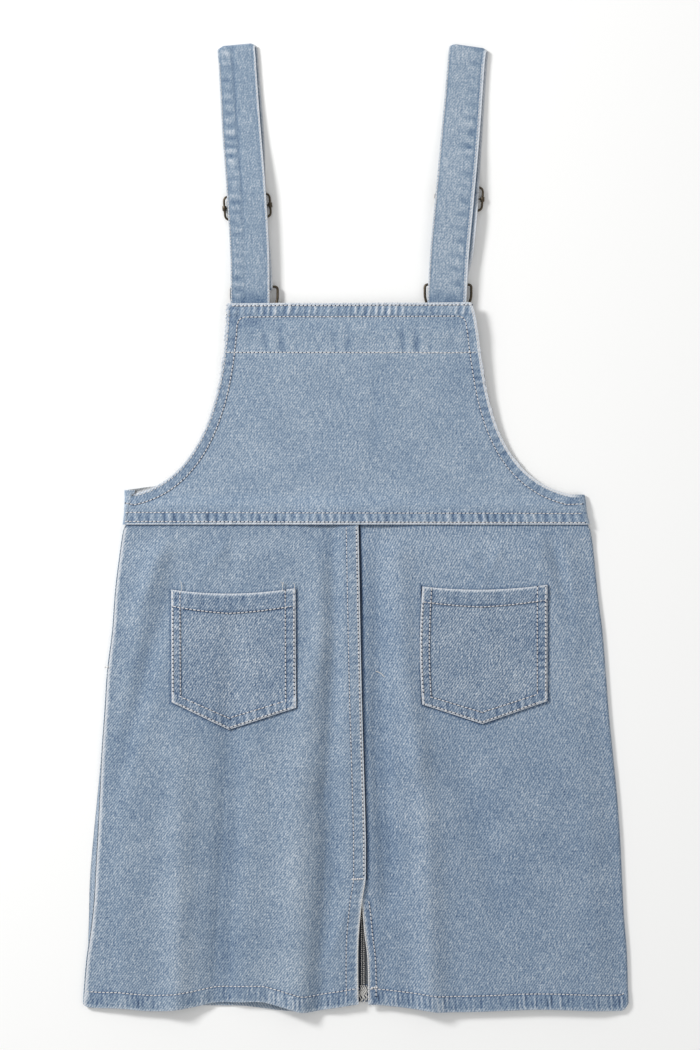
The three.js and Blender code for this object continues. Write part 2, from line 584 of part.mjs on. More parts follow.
function slideSolid(place) {
  const s = SLIDE;
  const frame = toManifold(wireLoop([
    { x: -s.halfWide, y: s.halfTall, round: 5 }, { x: s.halfWide, y: s.halfTall, round: 5 },
    { x: s.halfWide, y: -s.halfTall, round: 5 }, { x: -s.halfWide, y: -s.halfTall, round: 5 },
  ], SLIDE_WIRE, 6, s.level));
  const bar = wasm.Manifold.cylinder(2 * s.halfWide, s.bar / 2, s.bar / 2, 8, true).rotate([0, 90, 0])
    .translate([0, 0, s.level]);
  const knob = wasm.Manifold.cylinder(s.knobLong, s.knob / 2, s.knob / 2, 10, true).rotate([90, 0, 0]);
  return frame.add(bar).add(knob.translate([-s.knobX, 0, s.level])).add(knob.translate([s.knobX, 0, s.level]))
    .rotate([0, 0, THREE.MathUtils.radToDeg(place.turn)]).translate([place.x, place.y, 0]);
}

const BUTTON = { y: 173, head: 2.3, neck: 2.5, neckTop: 5.0, edge: 0.7 };
const BUCKLE = { halfWide: 20.85, side: 16, neck: 10, slot: 3.95, level: 3.75 };

function buckleSolid(place) {
  const b = BUCKLE;
  const top = place.top - WIRE / 2;
  const half = [
    { x: b.halfWide, y: top, round: 3 }, { x: b.halfWide, y: top - b.side, round: 8 },
    { x: b.slot, y: BUTTON.y + b.neck, round: 8 }, { x: b.slot, y: BUTTON.y - b.slot, round: 3.9 },
  ];
  const other = half.map((p) => ({ ...p, x: -p.x })).reverse();
  return wireLoop([...half, ...other].map((p) => ({ ...p, x: place.x + p.x })), WIRE, 6, b.level);
}

function buttonSolid(x) {
  const r = BUTTON_SIZE / 2;
  const b = BUTTON;
  const profile = [
    [0, 0], [r - b.edge * 1.6, 0], [r - 0.3, b.edge * 0.5], [r, b.edge * 1.3], [r - 0.3, b.head - 0.3],
    [r - 1.2, b.head], [b.neck, b.head], [b.neck, b.neckTop], [0, b.neckTop],
  ].map(([px, pz]) => new THREE.Vector2(px, pz));
  const body = new THREE.LatheGeometry(profile, 16);
  body.rotateX(Math.PI / 2);
  body.deleteAttribute('uv');
  body.deleteAttribute('normal');
  const merged = weld(body);
  merged.translate(x, BUTTON.y, 0);
  return merged;
}

// Joins equal points, drops empty triangles
function weld(geometry) {
  const p = geometry.attributes.position;
  const seen = new Map();
  const points = [];
  const remap = [];
  for (let k = 0; k < p.count; k += 1) {
    const key = [p.getX(k), p.getY(k), p.getZ(k)].map((v) => Math.round(v * 1e4)).join();
    if (!seen.has(key)) {
      seen.set(key, points.length);
      points.push([p.getX(k), p.getY(k), p.getZ(k)]);
    }
    remap.push(seen.get(key));
  }
  const tris = [];
  for (let k = 0; k < geometry.index.count; k += 3) {
    const t = [0, 1, 2].map((i) => remap[geometry.index.getX(k + i)]);
    if (new Set(t).size === 3) tris.push(t);
  }
  return outward(points, tris);
}

for (const [name, strap] of Object.entries(STRAPS)) {
  const path = strapPath(strap);
  const lean = (plan, y) => (read(plan, 'y', y + 8, 'x') - read(plan, 'y', y - 8, 'x')) / 16;
  add(`strap_${name}`, ribbon(path, (p) => {
    const atSlide = strap.slide.turn * ease(strap.buckle.top + 4, strap.slide.y - 24, p.y);
    const slope = mix(p.front ? atSlide : -lean(strap.back, p.y), strap.foldSlope, ease(370, 426, p.y));
    return slope;
  }), DENIM);
  add(`slide_${name}`, fromManifold(slideSolid(strap.slide)), METAL, true);
  add(`buckle_${name}`, buckleSolid(strap.buckle), METAL, true);
  add(`button_${name}`, buttonSolid(strap.buckle.x), METAL, true);
}

export default root;
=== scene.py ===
"""Denim pinafore dress laid flat on its front: the looks of its cloth, sewing and hardware.

Sizes are worked out in millimetres, as on the pattern, and written to the meshes in metres.
"""

import math
from bisect import bisect_right
from dataclasses import dataclass

import bmesh
import bpy
from mathutils import Matrix, Vector, kdtree, noise


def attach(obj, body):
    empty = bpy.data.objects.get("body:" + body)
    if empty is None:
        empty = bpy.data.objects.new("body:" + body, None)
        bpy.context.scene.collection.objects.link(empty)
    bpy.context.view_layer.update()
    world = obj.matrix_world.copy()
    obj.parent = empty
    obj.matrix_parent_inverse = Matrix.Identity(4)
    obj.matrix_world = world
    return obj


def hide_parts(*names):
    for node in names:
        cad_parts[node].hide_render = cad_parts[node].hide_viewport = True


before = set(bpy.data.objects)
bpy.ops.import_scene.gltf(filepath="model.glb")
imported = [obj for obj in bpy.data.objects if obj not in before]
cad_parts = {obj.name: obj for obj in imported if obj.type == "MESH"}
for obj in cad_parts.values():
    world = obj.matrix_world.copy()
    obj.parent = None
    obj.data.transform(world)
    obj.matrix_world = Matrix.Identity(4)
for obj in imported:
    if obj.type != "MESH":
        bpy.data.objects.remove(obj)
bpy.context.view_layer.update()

MM = 0.001
CLOTH = 1.2  # wall of one panel, as in the solids
SEAM_GAP = 0.3
EDGE_STACK = 3.0  # outer thickness of the skirt where it turns at a side
WAIST_STACK = 6.0  # the same where the bib covers the top of the skirt
WAIST_Y = 2.7  # foot of the bib
TUCK_Y = 14.0  # top of the skirt, tucked beneath the bib
HEM_Y = -430.0
UNDER_WRAP = 4.0  # cloth turned under past a side
FRONT_SEAM = 6.5  # the front's centre seam, right of the middle
STRAP_WIDTH, STRAP_FOLD_WIDTH, STRAP_THICK = 34.8, 33.4, 1.6
HEM_TURN = 14.2  # hem edge to its stitch line
SEAM_FELL = 11.0  # width of a felled seam, edge to far stitch line
THREAD = 0.9  # topstitch thread; the real one is 0.6, drawn heavier so that it shows
NEEDLE_HOLE_RADIUS = 0.75  # drawn wide as well, a disc of painted shade round the hole


def mix(a, b, t):
    return a + (b - a) * t


def clamp(v, lo=0.0, hi=1.0):
    return min(hi, max(lo, v))


def ease(a, b, v):
    t = clamp((v - a) / (b - a))
    return t * t * (3 - 2 * t)


def hump(v, middle, wide):
    return math.exp(-(((v - middle) / wide) ** 2))


class Table:
    """Rows of named sizes, read smoothly between rows by their first column."""

    def __init__(self, columns, rows):
        names, rows = columns.split(), sorted(rows)
        self.keys = [r[0] for r in rows]
        self.columns = {n: [r[k] for r in rows] for k, n in enumerate(names)}
        self.slopes, self.known = {}, {}
        for name, values in self.columns.items():
            last = len(rows) - 1
            self.slopes[name] = [
                (values[min(last, k + 1)] - values[max(0, k - 1)])
                / ((self.keys[min(last, k + 1)] - self.keys[max(0, k - 1)]) or 1)
                for k in range(len(rows))
            ]

    def at(self, key, name):
        near = (round(key, 1), name)  # a tenth of a millimetre is fine enough
        if near not in self.known:
            self.known[near] = self.read(*near)
        return self.known[near]

    def read(self, key, name):
        keys, values, slopes = self.keys, self.columns[name], self.slopes[name]
        if key <= keys[0]:
            return values[0]
        if key >= keys[-1]:
            return values[-1]
        k = bisect_right(keys, key) - 1
        span = keys[k + 1] - keys[k]
        t = (key - keys[k]) / span
        a, b = values[k], values[k + 1]
        smooth = (
            (2 * t**3 - 3 * t**2 + 1) * a
            + (t**3 - 2 * t**2 + t) * span * slopes[k]
            + (3 * t**2 - 2 * t**3) * b
            + (t**3 - t**2) * span * slopes[k + 1]
        )
        return clamp(smooth, min(a, b), max(a, b))


# The laid dress, millimetres from the middle of its outline, +y toward the straps
SIDES = Table("y left right", [  # the sides' outline, from the underarm to the hem
    (31, -207.4, 206.0), (24.8, -207.2, 207.4), (14, -207.7, 208.6), (3.2, -208.9, 211.0),
    (-2.2, -209.7, 211.9), (-20.2, -212.4, 214.6), (-56.2, -216.9, 218.2), (-92.2, -219.6, 222.7),
    (-128.2, -224.1, 225.7), (-164.2, -226.8, 228.4), (-200.2, -230.4, 232.0), (-236.2, -233.1, 235.6),
    (-272.2, -235.8, 238.3), (-308.2, -238.5, 240.1), (-344.2, -240.3, 241.9), (-380.2, -243.0, 244.6),
    (-416.2, -244.8, 245.7), (-436, -245.6, 246.5),
])
HEM = Table("x back front", [  # height of the hem edge across the dress
    (-246, -423.5, -423.5), (-244, -429, -429), (-240, -431.4, -431.4), (-211, -432.2, -431),
    (-180, -434.3, -432.6), (-148, -431.1, -429.9), (-126, -427.1, -429.8), (-103, -426.6, -430.0),
    (-84, -426.2, -432.0), (-72, -428.9, -433.6), (-58, -432.5, -435.0), (-46, -435.2, -435.2),
    (-18, -431.6, -430.3), (3, -428.4, -426.6), (22, -428.9, -427.1), (66, -433.8, -432.2),
    (76, -435.2, -433.6), (112, -434.9, -433.4), (166, -433.0, -431.4), (220, -434.5, -433.4),
    (240, -434.3, -434.3), (243.6, -431.6, -431.6), (246, -427, -427),
])
CENTRE = Table("y upper lower", [  # edges of the two skirt halves at the centre-back seam and slit
    (14, 2.9, -8.1), (-146, 6.0, -5.0), (-263, 9.3, -1.7), (-314, 9.8, -1.2), (-336, 6.6, 5.2),
    (-367, 3.6, 8.6), (-389, 3.0, 11.2), (-436, 3.4, 11.9),
])
ROLL = Table("y seam", [  # the left side seam lies this far in from the outline
    (34, 7.4), (14, 3.4), (3, 2.0), (-65, 1.8), (-155, 2.0), (-205, 3.2), (-317, 5.6), (-362, 4.2),
    (-390, 2.4), (-436, 1.0),
])
BIB_RISE = Table("y front back", [  # level of each bib's lower face
    (0, 0, 4.8), (19, 0, 4.8), (30, 0, 3.0), (60, 0.6, 2.9), (120, 3.0, 5.2), (150, 5.0, 7.1),
    (164, 5.3, 7.6), (178, 5.3, 8.7), (205, 5.3, 8.7),
])
BACK_TOP_Y, FRONT_TOP_Y, BIB_MID = 201.5, 192.0, -4.0
FACING_Y = 157.0  # stitch line that holds the bib's facing
ARM_TOP_Y, ARM_FOOT_Y = 201.5, 29.5
ARM_SIDES = {  # armhole edge as a cubic, measured from the bib's middle line
    -1: dict(x0=110.5, x1=111.9, y1=172, x2=114.1, y2=44.5, x3=198),
    1: dict(x0=108.4, x1=122.5, y1=172, x2=108.6, y2=49.2, x3=198),
}
FRONT_CORNER = 0.085  # share of the armhole's length that the lower front bib leaves off at its top
FRONT_TAB_RISE = 5.8  # the front's left underarm tab is raised by this, so that it shows past the back

# Folds of the back skirt: ridges (+) and troughs (-) through three points, with a height at each
FOLD_COLUMNS = "x0 y0 h0 x1 y1 h1 x2 y2 h2 wide".split()
FOLDS = [dict(zip(FOLD_COLUMNS, row)) for row in [
    (-164, -187, 0.6, -165, -299, 1.6, -167, -440, 2.3, 15),
    (-117, -92, -0.7, -119, -260, -1.8, -128, -440, -1.9, 15),
    (-40, -36, 0.8, -35, -96, 1.6, -50, -163, 1.6, 15),
    (-52, -180, 1.3, -60, -240, 2.3, -60, -440, 2.5, 21),
    (-24, -3, -0.6, -24, -140, -1.4, -29, -235, -1.3, 9),
    (-29, -240, -1.2, -28, -305, -2.0, -38, -440, -1.6, 11),
    (14, -17, -0.5, 17, -187, -1.8, 26, -330, -1.6, 11),
    (32, -21, 0.9, 38, -120, 1.6, 50, -210, 1.9, 14),
    (51, -200, 0.6, 58, -290, 2.0, 62, -440, 2.2, 15),
    (82, -187, -0.4, 103, -270, -1.0, 124, -352, -0.4, 18),
    (172, -3, -0.9, 181, -40, -1.2, 189, -80, -0.4, 8),
    (-168, -45, -0.6, -194, -130, -1.4, -219, -225, -0.8, 12),
    (-172, -3, 0.8, -188, -45, 1.0, -206, -84, 0.6, 11),
]]
# Smaller creases that only the looks have
CREASES = [dict(zip(FOLD_COLUMNS, row)) for row in [
    (96, -10, 0.3, 104, -28, 0.8, 113, -50, 0.2, 5),
    (131, -10, 0.3, 124, -28, 0.7, 114, -50, 0.2, 5),
    (-114, -5, -0.3, -114, -30, -0.8, -113, -58, -0.3, 7),
    (-117, -12, 0.3, -130, -28, 0.6, -146, -50, 0.2, 7),
    (-221, -325, -0.3, -221, -380, -0.8, -220, -440, -0.8, 9),
    (24, -380, -0.4, 24, -405, -0.9, 24, -440, -0.8, 7),
    (-3, -322, 0.5, -18, -365, 0.9, -37, -412, 0.5, 6),
    (107, -56, 0.3, 116, -105, 0.7, 127, -158, 0.4, 11),
    (161, -14, 0.4, 163, -30, 0.6, 166, -60, 0.2, 7),
]]
PUFF = 3.0  # how far the back is raised between the folds

POCKET_COLUMNS = "x0 x1 top0 topm top1 bottom0 tipx tipy bottom1 bow".split()
POCKETS = {
    "left": dict(zip(POCKET_COLUMNS,
                     (-165.0, -53.3, -55.8, -59.3, -54.4, -156.8, -113.8, -181.7, -161.6, 1.4))),
    "right": dict(zip(POCKET_COLUMNS,
                      (60.5, 172.7, -52.9, -55.8, -51.4, -158.8, 114.2, -176.3, -155.8, -2.2))),
}

STRAPS = {
    "left": dict(
        fold_slope=0.09, fold_y=435.2, slide=(-96.8, 288.4, 0.08), buckle=(-90.4, 217.5), ridge=-0.22,
        back=Table("y x", [(185, -94.2), (240, -94.4), (300, -97.6), (360, -102.2), (436, -107.0)]),
        front=Table("y x", [(205, -91.5), (222, -91.6), (244, -93.0), (288, -96.8), (350, -99.0),
                            (436, -104.6)]),
    ),
    "right": dict(
        fold_slope=-0.14, fold_y=434.2, slide=(94.0, 296.5, -0.07), buckle=(83.6, 219.5), ridge=0.42,
        back=Table("y x", [(185, 81.7), (240, 84.3), (300, 89.7), (360, 95.2), (436, 101.3)]),
        front=Table("y x", [(205, 83.6), (222, 83.8), (246, 88.6), (296, 93.4), (350, 97.0), (436, 103.6)]),
    ),
}
BACK_PART = Table("y z", [
    (185, 6.8), (204, 6.85), (222, 7.3), (262, 7.8), (300, 8.0), (322, 6.6), (350, 4.4), (390, 2.8),
    (425, 2.5),
])
FRONT_PART = Table("y z", [  # measured from the slide's centre bar
    (100, 0), (34, 0), (21, 2.0), (12.5, 4.0), (9.5, 4.0), (0.8, 0), (-0.8, 0), (-9.5, 4.0), (-12.5, 4.0),
    (-24, 1.6), (-40, 0.6), (-90, 0.6),
])
RETURN_PART = Table("y z", [(-90, 5.2), (-44, 5.3), (-24, 5.9), (-9, 5.9), (-1.5, 3.9), (5, 3.9)])
STRAP_ROOT_Y = 185.0  # hidden end of the strap's back part, beneath the bib

SLIDE = dict(half_wide=20.6, half_tall=10.6, wire=2.0, level=2.7, bar=1.6, knob=3.8, knob_long=4.4)
BUCKLE = dict(half_wide=20.85, side=16, neck=10, slot=3.95, wire=2.3, level=3.75)
BUTTON = dict(y=173, size=17, head=2.3, neck=2.5, neck_top=5.0)


# Form of the cloth

FOLD_LEAN = 0.42  # the table's lines are the lit flanks; crests lie this share of a width right of them
FOLD_REACH = 2.6  # widths to each side within which a fold is felt
FOLD_WANDER = 32  # the most that a fold's curve strays from its middle point
FOLD_ABOVE, FOLD_BELOW, FOLD_WITHIN = 26, 30, 6  # a fold fades out past and just before its end points


def fold_height(f, x, y):
    """One fold's height at a point: a soft ridge round a curve through its three points."""
    ends_early = f["y2"] > HEM_Y
    if y > f["y0"] + FOLD_ABOVE or (ends_early and y < f["y2"] - FOLD_BELOW):
        return 0.0
    if abs(x - f["x1"]) > FOLD_REACH * f["wide"] + FOLD_WANDER:
        return 0.0
    t = clamp((f["y0"] - y) / (f["y0"] - f["y2"]))
    m = (f["y0"] - f["y1"]) / (f["y0"] - f["y2"])

    def bend(a, b, c):
        if t < m:
            k = t / m
            return mix(a, b, ease(0, 1, k) * 0.3 + k * 0.7)
        k = (t - m) / (1 - m)
        return mix(b, c, ease(0, 1, k) * 0.3 + k * 0.7)

    off = (x - bend(f["x0"], f["x1"], f["x2"])) / f["wide"] - FOLD_LEAN
    if abs(off) > FOLD_REACH:
        return 0.0
    foot = ease(f["y2"] - FOLD_BELOW, f["y2"] + FOLD_WITHIN, y) if ends_early else 1
    ends = ease(f["y0"] + FOLD_ABOVE, f["y0"] - FOLD_WITHIN, y) * foot
    return bend(f["h0"], f["h1"], f["h2"]) * ends * math.exp(-off * off * 1.4)


FOLD_GAIN = 2.2  # the cloth's folds against the table's heights, raised towards the photo's light and shade
FULL_FOLD = 2.2  # table height at which a fold's crest is fully lightened, by painted light and fading, and its trough fully darkened by painted shade


def lift(x, y):
    """Height of the back skirt above its resting level."""
    from_left = x - SIDES.at(y, "left")
    from_right = SIDES.at(y, "right") - x
    edges = ease(6, 34, from_left) * ease(4, 34, from_right) * ease(0.5, -24, y)
    near_waist = ease(-1, -12, y) * ease(4, 20, from_left) * ease(4, 20, from_right)
    folds = sum(fold_height(f, x, y) for f in FOLDS)
    small = sum(fold_height(f, x, y) for f in CREASES)
    soft = 0.45 * noise.noise((x / 42, y / 55, 1.7)) + 0.16 * noise.noise((x / 15, y / 19, 4.2))
    return max(-0.25, (PUFF + folds * FOLD_GAIN) * edges) + (small + soft * edges) * near_waist


def rope(s, d, seed, pitch=8.0, slant=0.12, steady=0.0):
    """Roping of a sewn edge: uneven bars across it, from -1 in a hollow to 1 on a crest."""
    run = s + d * slant
    some = 0.5 + 0.5 * clamp(0.5 + steady + 1.3 * noise.noise((run / 47, seed, 9.1)))
    fine = noise.noise((run / pitch * 2.1, d / 14, seed)) * (1 - 0.5 * steady)
    coarse = math.sin(2 * math.pi * run / pitch + 2.0 * noise.noise((run / 31, 0, seed + 5)))
    return clamp(some * (1.1 * fine + 0.75 * coarse), -1, 1)


@dataclass
class Band:
    """A turned and stitched edge: how far in its far stitch line lies and how strongly it ropes."""
    width: float
    seed: float
    thick: float = 0.45
    ruck: float = 0.25
    pitch: float = 8.0
    steady: float = 0.0
    dye: float = 0.6
    rub: float = 0.35
    base: float = 0.06
    rim: float = 0.75
    rim_wide: float = 1.7
    # ditch: painted shade along the far stitch line, with dye kept in its groove
    ditch: float = 0.5


def sewn_band(d, s, band):
    """Relief of a band at distance d from its edge, s along it: (extra height, wear, dye and painted
    shade).
    """
    if d < -0.5 or d > band.width + 5:
        return 0.0, 0.0, 0.0
    inside = ease(band.width + 1.2, band.width - 0.8, d)
    strong = max(inside, ease(band.width + 5, band.width, d) * 0.35)
    r = rope(s, d, band.seed, band.pitch, steady=band.steady)
    dz = band.thick * inside + band.ruck * r * strong
    wear_and_light = max(0.0, r) * band.rub * strong
    dye_and_shade = max(0.0, -r) * band.dye * strong + band.base * inside
    if band.rim:
        rim = ease(band.rim_wide, band.rim_wide - 1.2, d)
        wear_and_light = max(wear_and_light, rim * band.rim * (1 + 0.5 * noise.noise((s / 2.6, band.seed, 2))))
        dye_and_shade *= 1 - rim
        dz -= 0.2 * ease(1.2, 0.0, d)
    # painted shade along the far stitch line, with dye kept in its groove; the line also dips a little
    ditch = hump(d, band.width, 1.2)
    dye_and_shade = max(dye_and_shade, band.ditch * ditch * (1 + 0.6 * noise.noise((s / 2.3, band.seed, 7))))
    return dz - 0.15 * ditch, wear_and_light, dye_and_shade


def total(*parts):
    """Adds several bands: heights add up, the strongest wear and painted light and the deepest dye and
    painted shade count.
    """
    return sum(p[0] for p in parts), max(p[1] for p in parts), max(p[2] for p in parts)


class Seam:
    """A line on the cloth in plan, sampled every millimetre, with distances taken to its left."""

    def __init__(self, points):
        pts = [Vector(p) for p in points]
        self.points, run = [], 0.0
        for a, b in zip(pts, pts[1:]):
            length = (b - a).length
            while run < length:
                self.points.append(a + (b - a) * (run / length))
                run += 1.0
            run -= length
        self.points.append(pts[-1])
        self.tree = kdtree.KDTree(len(self.points))
        for k, p in enumerate(self.points):
            self.tree.insert((p.x, p.y, 0), k)
        self.tree.balance()
        last = len(self.points) - 1
        self.ways = [
            (self.points[min(last, k + 2)] - self.points[max(0, k - 2)]).normalized()
            for k in range(last + 1)
        ]

    def near(self, x, y):
        _, k, _ = self.tree.find((x, y, 0))
        way, off = self.ways[k], Vector((x, y)) - self.points[k]
        side = way.x * off.y - way.y * off.x
        return (side if 0 < k < len(self.points) - 1 else math.copysign(off.length, side)), float(k)


def armhole(side, t, inset=0.0):
    c, u = ARM_SIDES[side], 1 - t
    w = (u**3, 3 * u * u * t, 3 * u * t * t, t**3)
    x = w[0] * c["x0"] + w[1] * c["x1"] + w[2] * c["x2"] + w[3] * c["x3"] - inset * (1 - t)
    y = w[0] * ARM_TOP_Y + w[1] * c["y1"] + w[2] * c["y2"] + w[3] * ARM_FOOT_Y - inset * t
    return x, y


ARM_SEAMS = {
    side: Seam([(BIB_MID + side * armhole(side, k / 80)[0], armhole(side, k / 80)[1]) for k in range(81)])
    for side in (-1, 1)
}


def seam_bump(x, y):
    return (CLOTH + SEAM_GAP + 0.3) * ease(58, 24, abs(x - BIB_MID)) * ease(40, 14, y)


def top_edge(x):
    return BACK_TOP_Y + 0.35 * noise.noise((x / 40, 3, 1)) + 0.4 * x / 110


BIB_TOP = Band(10.8, 3.1, thick=0.55, ruck=0.28, pitch=6.0, dye=0.7, rub=0.75)
BIB_ARMS = {
    -1: Band(9.8, 10.0, thick=0.35, ruck=0.16, pitch=7, dye=0.5, rub=0.2, base=0.1, rim_wide=2.0),
    1: Band(9.8, 12.0, thick=0.35, ruck=0.22, pitch=7, dye=0.75, rub=0.3, rim=1.0, rim_wide=2.9),
}
BIB_WAIST = Band(10.4, 21.7, thick=0.4, ruck=0.26, pitch=7.6, steady=0.7, dye=0.8, rub=0.45)


def bib_relief(x, y):
    top = top_edge(x) - y
    parts = [sewn_band(top, x, BIB_TOP)]
    for side in (-1, 1):
        d, s = ARM_SEAMS[side].near(x, y)
        parts.append(sewn_band(abs(d), s, BIB_ARMS[side]))
    waist = y - WAIST_Y
    parts.append(sewn_band(waist, x, BIB_WAIST))
    over = y - FACING_Y
    r = rope(x, over, 31.3, 15) * clamp(0.45 + 1.6 * noise.noise((x / 33, 4.4, 1)))
    near = ease(-2, 1.5, over) * ease(36, 2, over)
    parts.append((0.2 * r * near, (0.10 + 0.12 * max(0, r)) * near, 0.8 * max(0, -r) * near))
    line = hump(over, 0, 1.1)
    parts.append((-0.15 * line, 0.45 * line, 0.0))
    root = hump(top, 17, 7) * max(hump(x, -100, 22), 0.5 * hump(x, 92, 20))  # darker where the strap roots lie beneath
    parts.append((0.0, 0.0, root * (0.45 + 0.4 * noise.noise((x / 6, y / 11, 5.5)))))
    streak = hump(x, 18, 5) * ease(60, 74, y) * ease(142, 128, y)  # soft upright crease
    wave = 0.5 * noise.noise((x / 48, y / 40, 8.8)) + 0.15 * noise.noise((x / 14, y / 16, 2.4))
    wave -= 0.2 * streak
    # painted shade along the crease
    parts.append((0.0, 0.0, 0.12 * streak))
    dz, wear_and_light, dye_and_shade = total(*parts)
    return dz + wave * ease(0, 14, waist) * ease(0, 14, top), wear_and_light, dye_and_shade


def bib_height(x, y):
    dz, wear_and_light, dye_and_shade = bib_relief(x, y)
    return BIB_RISE.at(y, "back") + CLOTH + seam_bump(x, y) + dz, wear_and_light, dye_and_shade


def skirt_level(y):
    return (WAIST_STACK - EDGE_STACK) / 2 * ease(-20, 0, y)


def skirt_inset(y):
    return (CLOTH + SEAM_GAP) * ease(-3, WAIST_Y - 1.2, y)


def overlap(x, y):
    """How far the left half is raised where it laps over the right at the centre-back seam."""
    upper, lower = CENTRE.at(y, "upper"), CENTRE.at(y, "lower")
    return (CLOTH + SEAM_GAP + 0.2) * ease(-3, 0.2, upper - lower) * ease(lower - 14, lower - 2, x)


SKIRT_HEM = {
    side: Band(HEM_TURN, seed, thick=0.55, ruck=0.22, pitch=4.6, dye=0.9, rub=rub, rim=0.35, ditch=0.7)
    for side, seed, rub in ((-1, 40.0, 0.5), (1, 42.0, 0.55))
}
CENTRE_FELL = Band(SEAM_FELL, 51.0, thick=0.35, ruck=0.18, pitch=6, dye=0.4, rub=0.25, base=0.0, ditch=0.35)
SIDE_ROLL = Band(2.6, 57.0, thick=0.1, ruck=0.1, pitch=5, dye=0.3, rub=0.2, rim=0.4, ditch=0.0)
SIDE_SEAM = Band(2.6, 58.0, thick=0.1, ruck=0.1, pitch=5, dye=0.3, rub=0.2, rim=0.95, rim_wide=2.1,
                 ditch=0.0)
SLIT_TURN = Band(7.2, 53.0, thick=0.35, ruck=0.2, pitch=6, dye=0.5, rub=0.3, base=0.15)

# How dark the painted shadow on the skirt is at a pocket's left, right, top and bottom edge
POCKET_SHADOWS = {"left": (0.7, 1.05, 0.35, 0.9), "right": (1.1, 0.9, 0.35, 0.9)}


def pocket_shade(side, x, y):
    """Painted shadow on the skirt just outside a pocket, darkest on its right, away from the light."""
    which = "left" if side < 0 else "right"
    p = POCKETS[which]
    if not (p["x0"] - 4 < x < p["x1"] + 4 and p["tipy"] - 4 < y < p["top0"] + 6):
        return 0.0
    inside, strength = min(zip(pocket_edges(which, x, y), POCKET_SHADOWS[which]))
    return ease(-2.6, -0.6, inside) * strength if inside <= 2 else 0.0


def skirt_relief(side, x, y):
    parts = [sewn_band(y - HEM.at(x, "back"), x, SKIRT_HEM[side])]
    if side < 0:
        parts.append(sewn_band(CENTRE.at(y, "upper") - x, y, CENTRE_FELL))
        parts.append(sewn_band(x - SIDES.at(y, "left") - ROLL.at(y, "seam"), y, SIDE_SEAM))
    else:
        open_slit = ease(-318, -335, y)
        if open_slit:
            parts.append(tuple(v * open_slit for v in sewn_band(x - CENTRE.at(y, "lower"), y, SLIT_TURN)))
        # painted shadow on the right half beside the left half's lapped edge, where the seam is closed
        lap = x - CENTRE.at(y, "upper")
        if -2 < lap < 8:
            closed = ease(-325, -312, y)
            shade = 1.15 * ease(3.2, 1.4, lap) + 0.1 * ease(8, 1, lap)
            parts.append((-0.1 * ease(7, 0, lap) * closed, 0, shade * closed))
        parts.append(sewn_band(SIDES.at(y, "right") - x, y, SIDE_ROLL))
    # painted shade below the bib's foot: darkest where the skirt tucks under it, with dark puckers hanging
    # a little way down
    if y > -9:
        hang = ease(-9, -1, y) * rope(x, y, 61, 6)
        parts.append((0, 0.15 * max(0, -hang), 0.25 * max(0, hang) + 0.6 * ease(0.0, 1.2, y)))
    parts.append((0, 0, pocket_shade(side, x, y)))
    return total(*parts)


def skirt_height(side, x, y):
    dz, wear_and_light, dye_and_shade = skirt_relief(side, x, y)
    up = overlap(x, y) if side < 0 else 0.0
    # fold crests lighter and troughs darker in colour: painted light and painted shade, with some fading on
    # the crests
    crest = clamp(sum(fold_height(f, x, y) for f in FOLDS) / FULL_FOLD, -1, 1)
    faded = 0.0
    if side > 0:  # below the waist and at the hip
        faded = 0.16 * max(ease(-75, -20, y), ease(120, 180, x) * ease(-200, -150, y))
    return (
        skirt_level(y) + EDGE_STACK + lift(x, y) + up + dz,
        max(wear_and_light, 0.20 * max(0, crest), faded),
        max(dye_and_shade, 0.24 * max(0, -crest)),
    )


# Laying out pieces

def ring_point(side, s, y, low, stack, edge, face):
    """Point of the cloth at a side: s runs along the top to the turn (s = 0), then round beneath."""
    radius = stack / 2
    start, turn = edge - side * radius, math.pi * radius
    if s <= 0:
        x = start + side * s
        z, wear_and_light, dye_and_shade = face(x, y) if face else (low + stack, 0.0, 0.0)
        return (x, y, z), wear_and_light, dye_and_shade
    if s >= turn:
        return (start - side * (s - turn), y, low), 0.0, 0.0
    a = s / radius
    flat = face(start, y) if face else (low + stack, 0.0, 0.0)
    high = flat[0] - low - stack
    z = low + radius + radius * math.cos(a) + high * (1 - s / turn)
    return (start + side * radius * math.sin(a), y, z), flat[1] * (1 - s / turn), flat[2] * (1 - s / turn)


def hug(t, count):
    """Moves the row next to an edge close to it, so that the edge shades crisply."""
    if round(t * count) == 1:
        return t * 0.2
    return 1 - (1 - t) * 0.2 if round(t * count) == count - 1 else t


def cloth_grid(columns, rows, point, hem_rows=None):
    """A sheet laid point by point from a flat grid, with wear and painted light, dye and painted shade, and
    grain kept on its points.
    """
    bm = bmesh.new()
    bmesh.ops.create_grid(bm, x_segments=columns, y_segments=rows, size=0.5)
    wear_and_light_of = bm.verts.layers.float.new("wear_and_light")
    dye_and_shade_of = bm.verts.layers.float.new("dye_and_shade")
    grain_of = {}
    for vert in bm.verts:
        u, v = hug(vert.co.x + 0.5, columns), hug(vert.co.y + 0.5, rows)
        (x, y, z), wear_and_light, dye_and_shade, grain = point(u, v)
        vert.co = Vector((x, y, z)) * MM
        vert[wear_and_light_of], vert[dye_and_shade_of] = clamp(wear_and_light), clamp(dye_and_shade)
        grain_of[vert] = grain
    grain_uv = bm.loops.layers.uv.new("grain")
    for face in bm.faces:
        face.smooth = True
        if hem_rows and hem_rows(face.calc_center_median() / MM):
            face.material_index = 2
        for loop in face.loops:
            loop[grain_uv].uv = Vector(grain_of[loop.vert]) * MM
    return bm


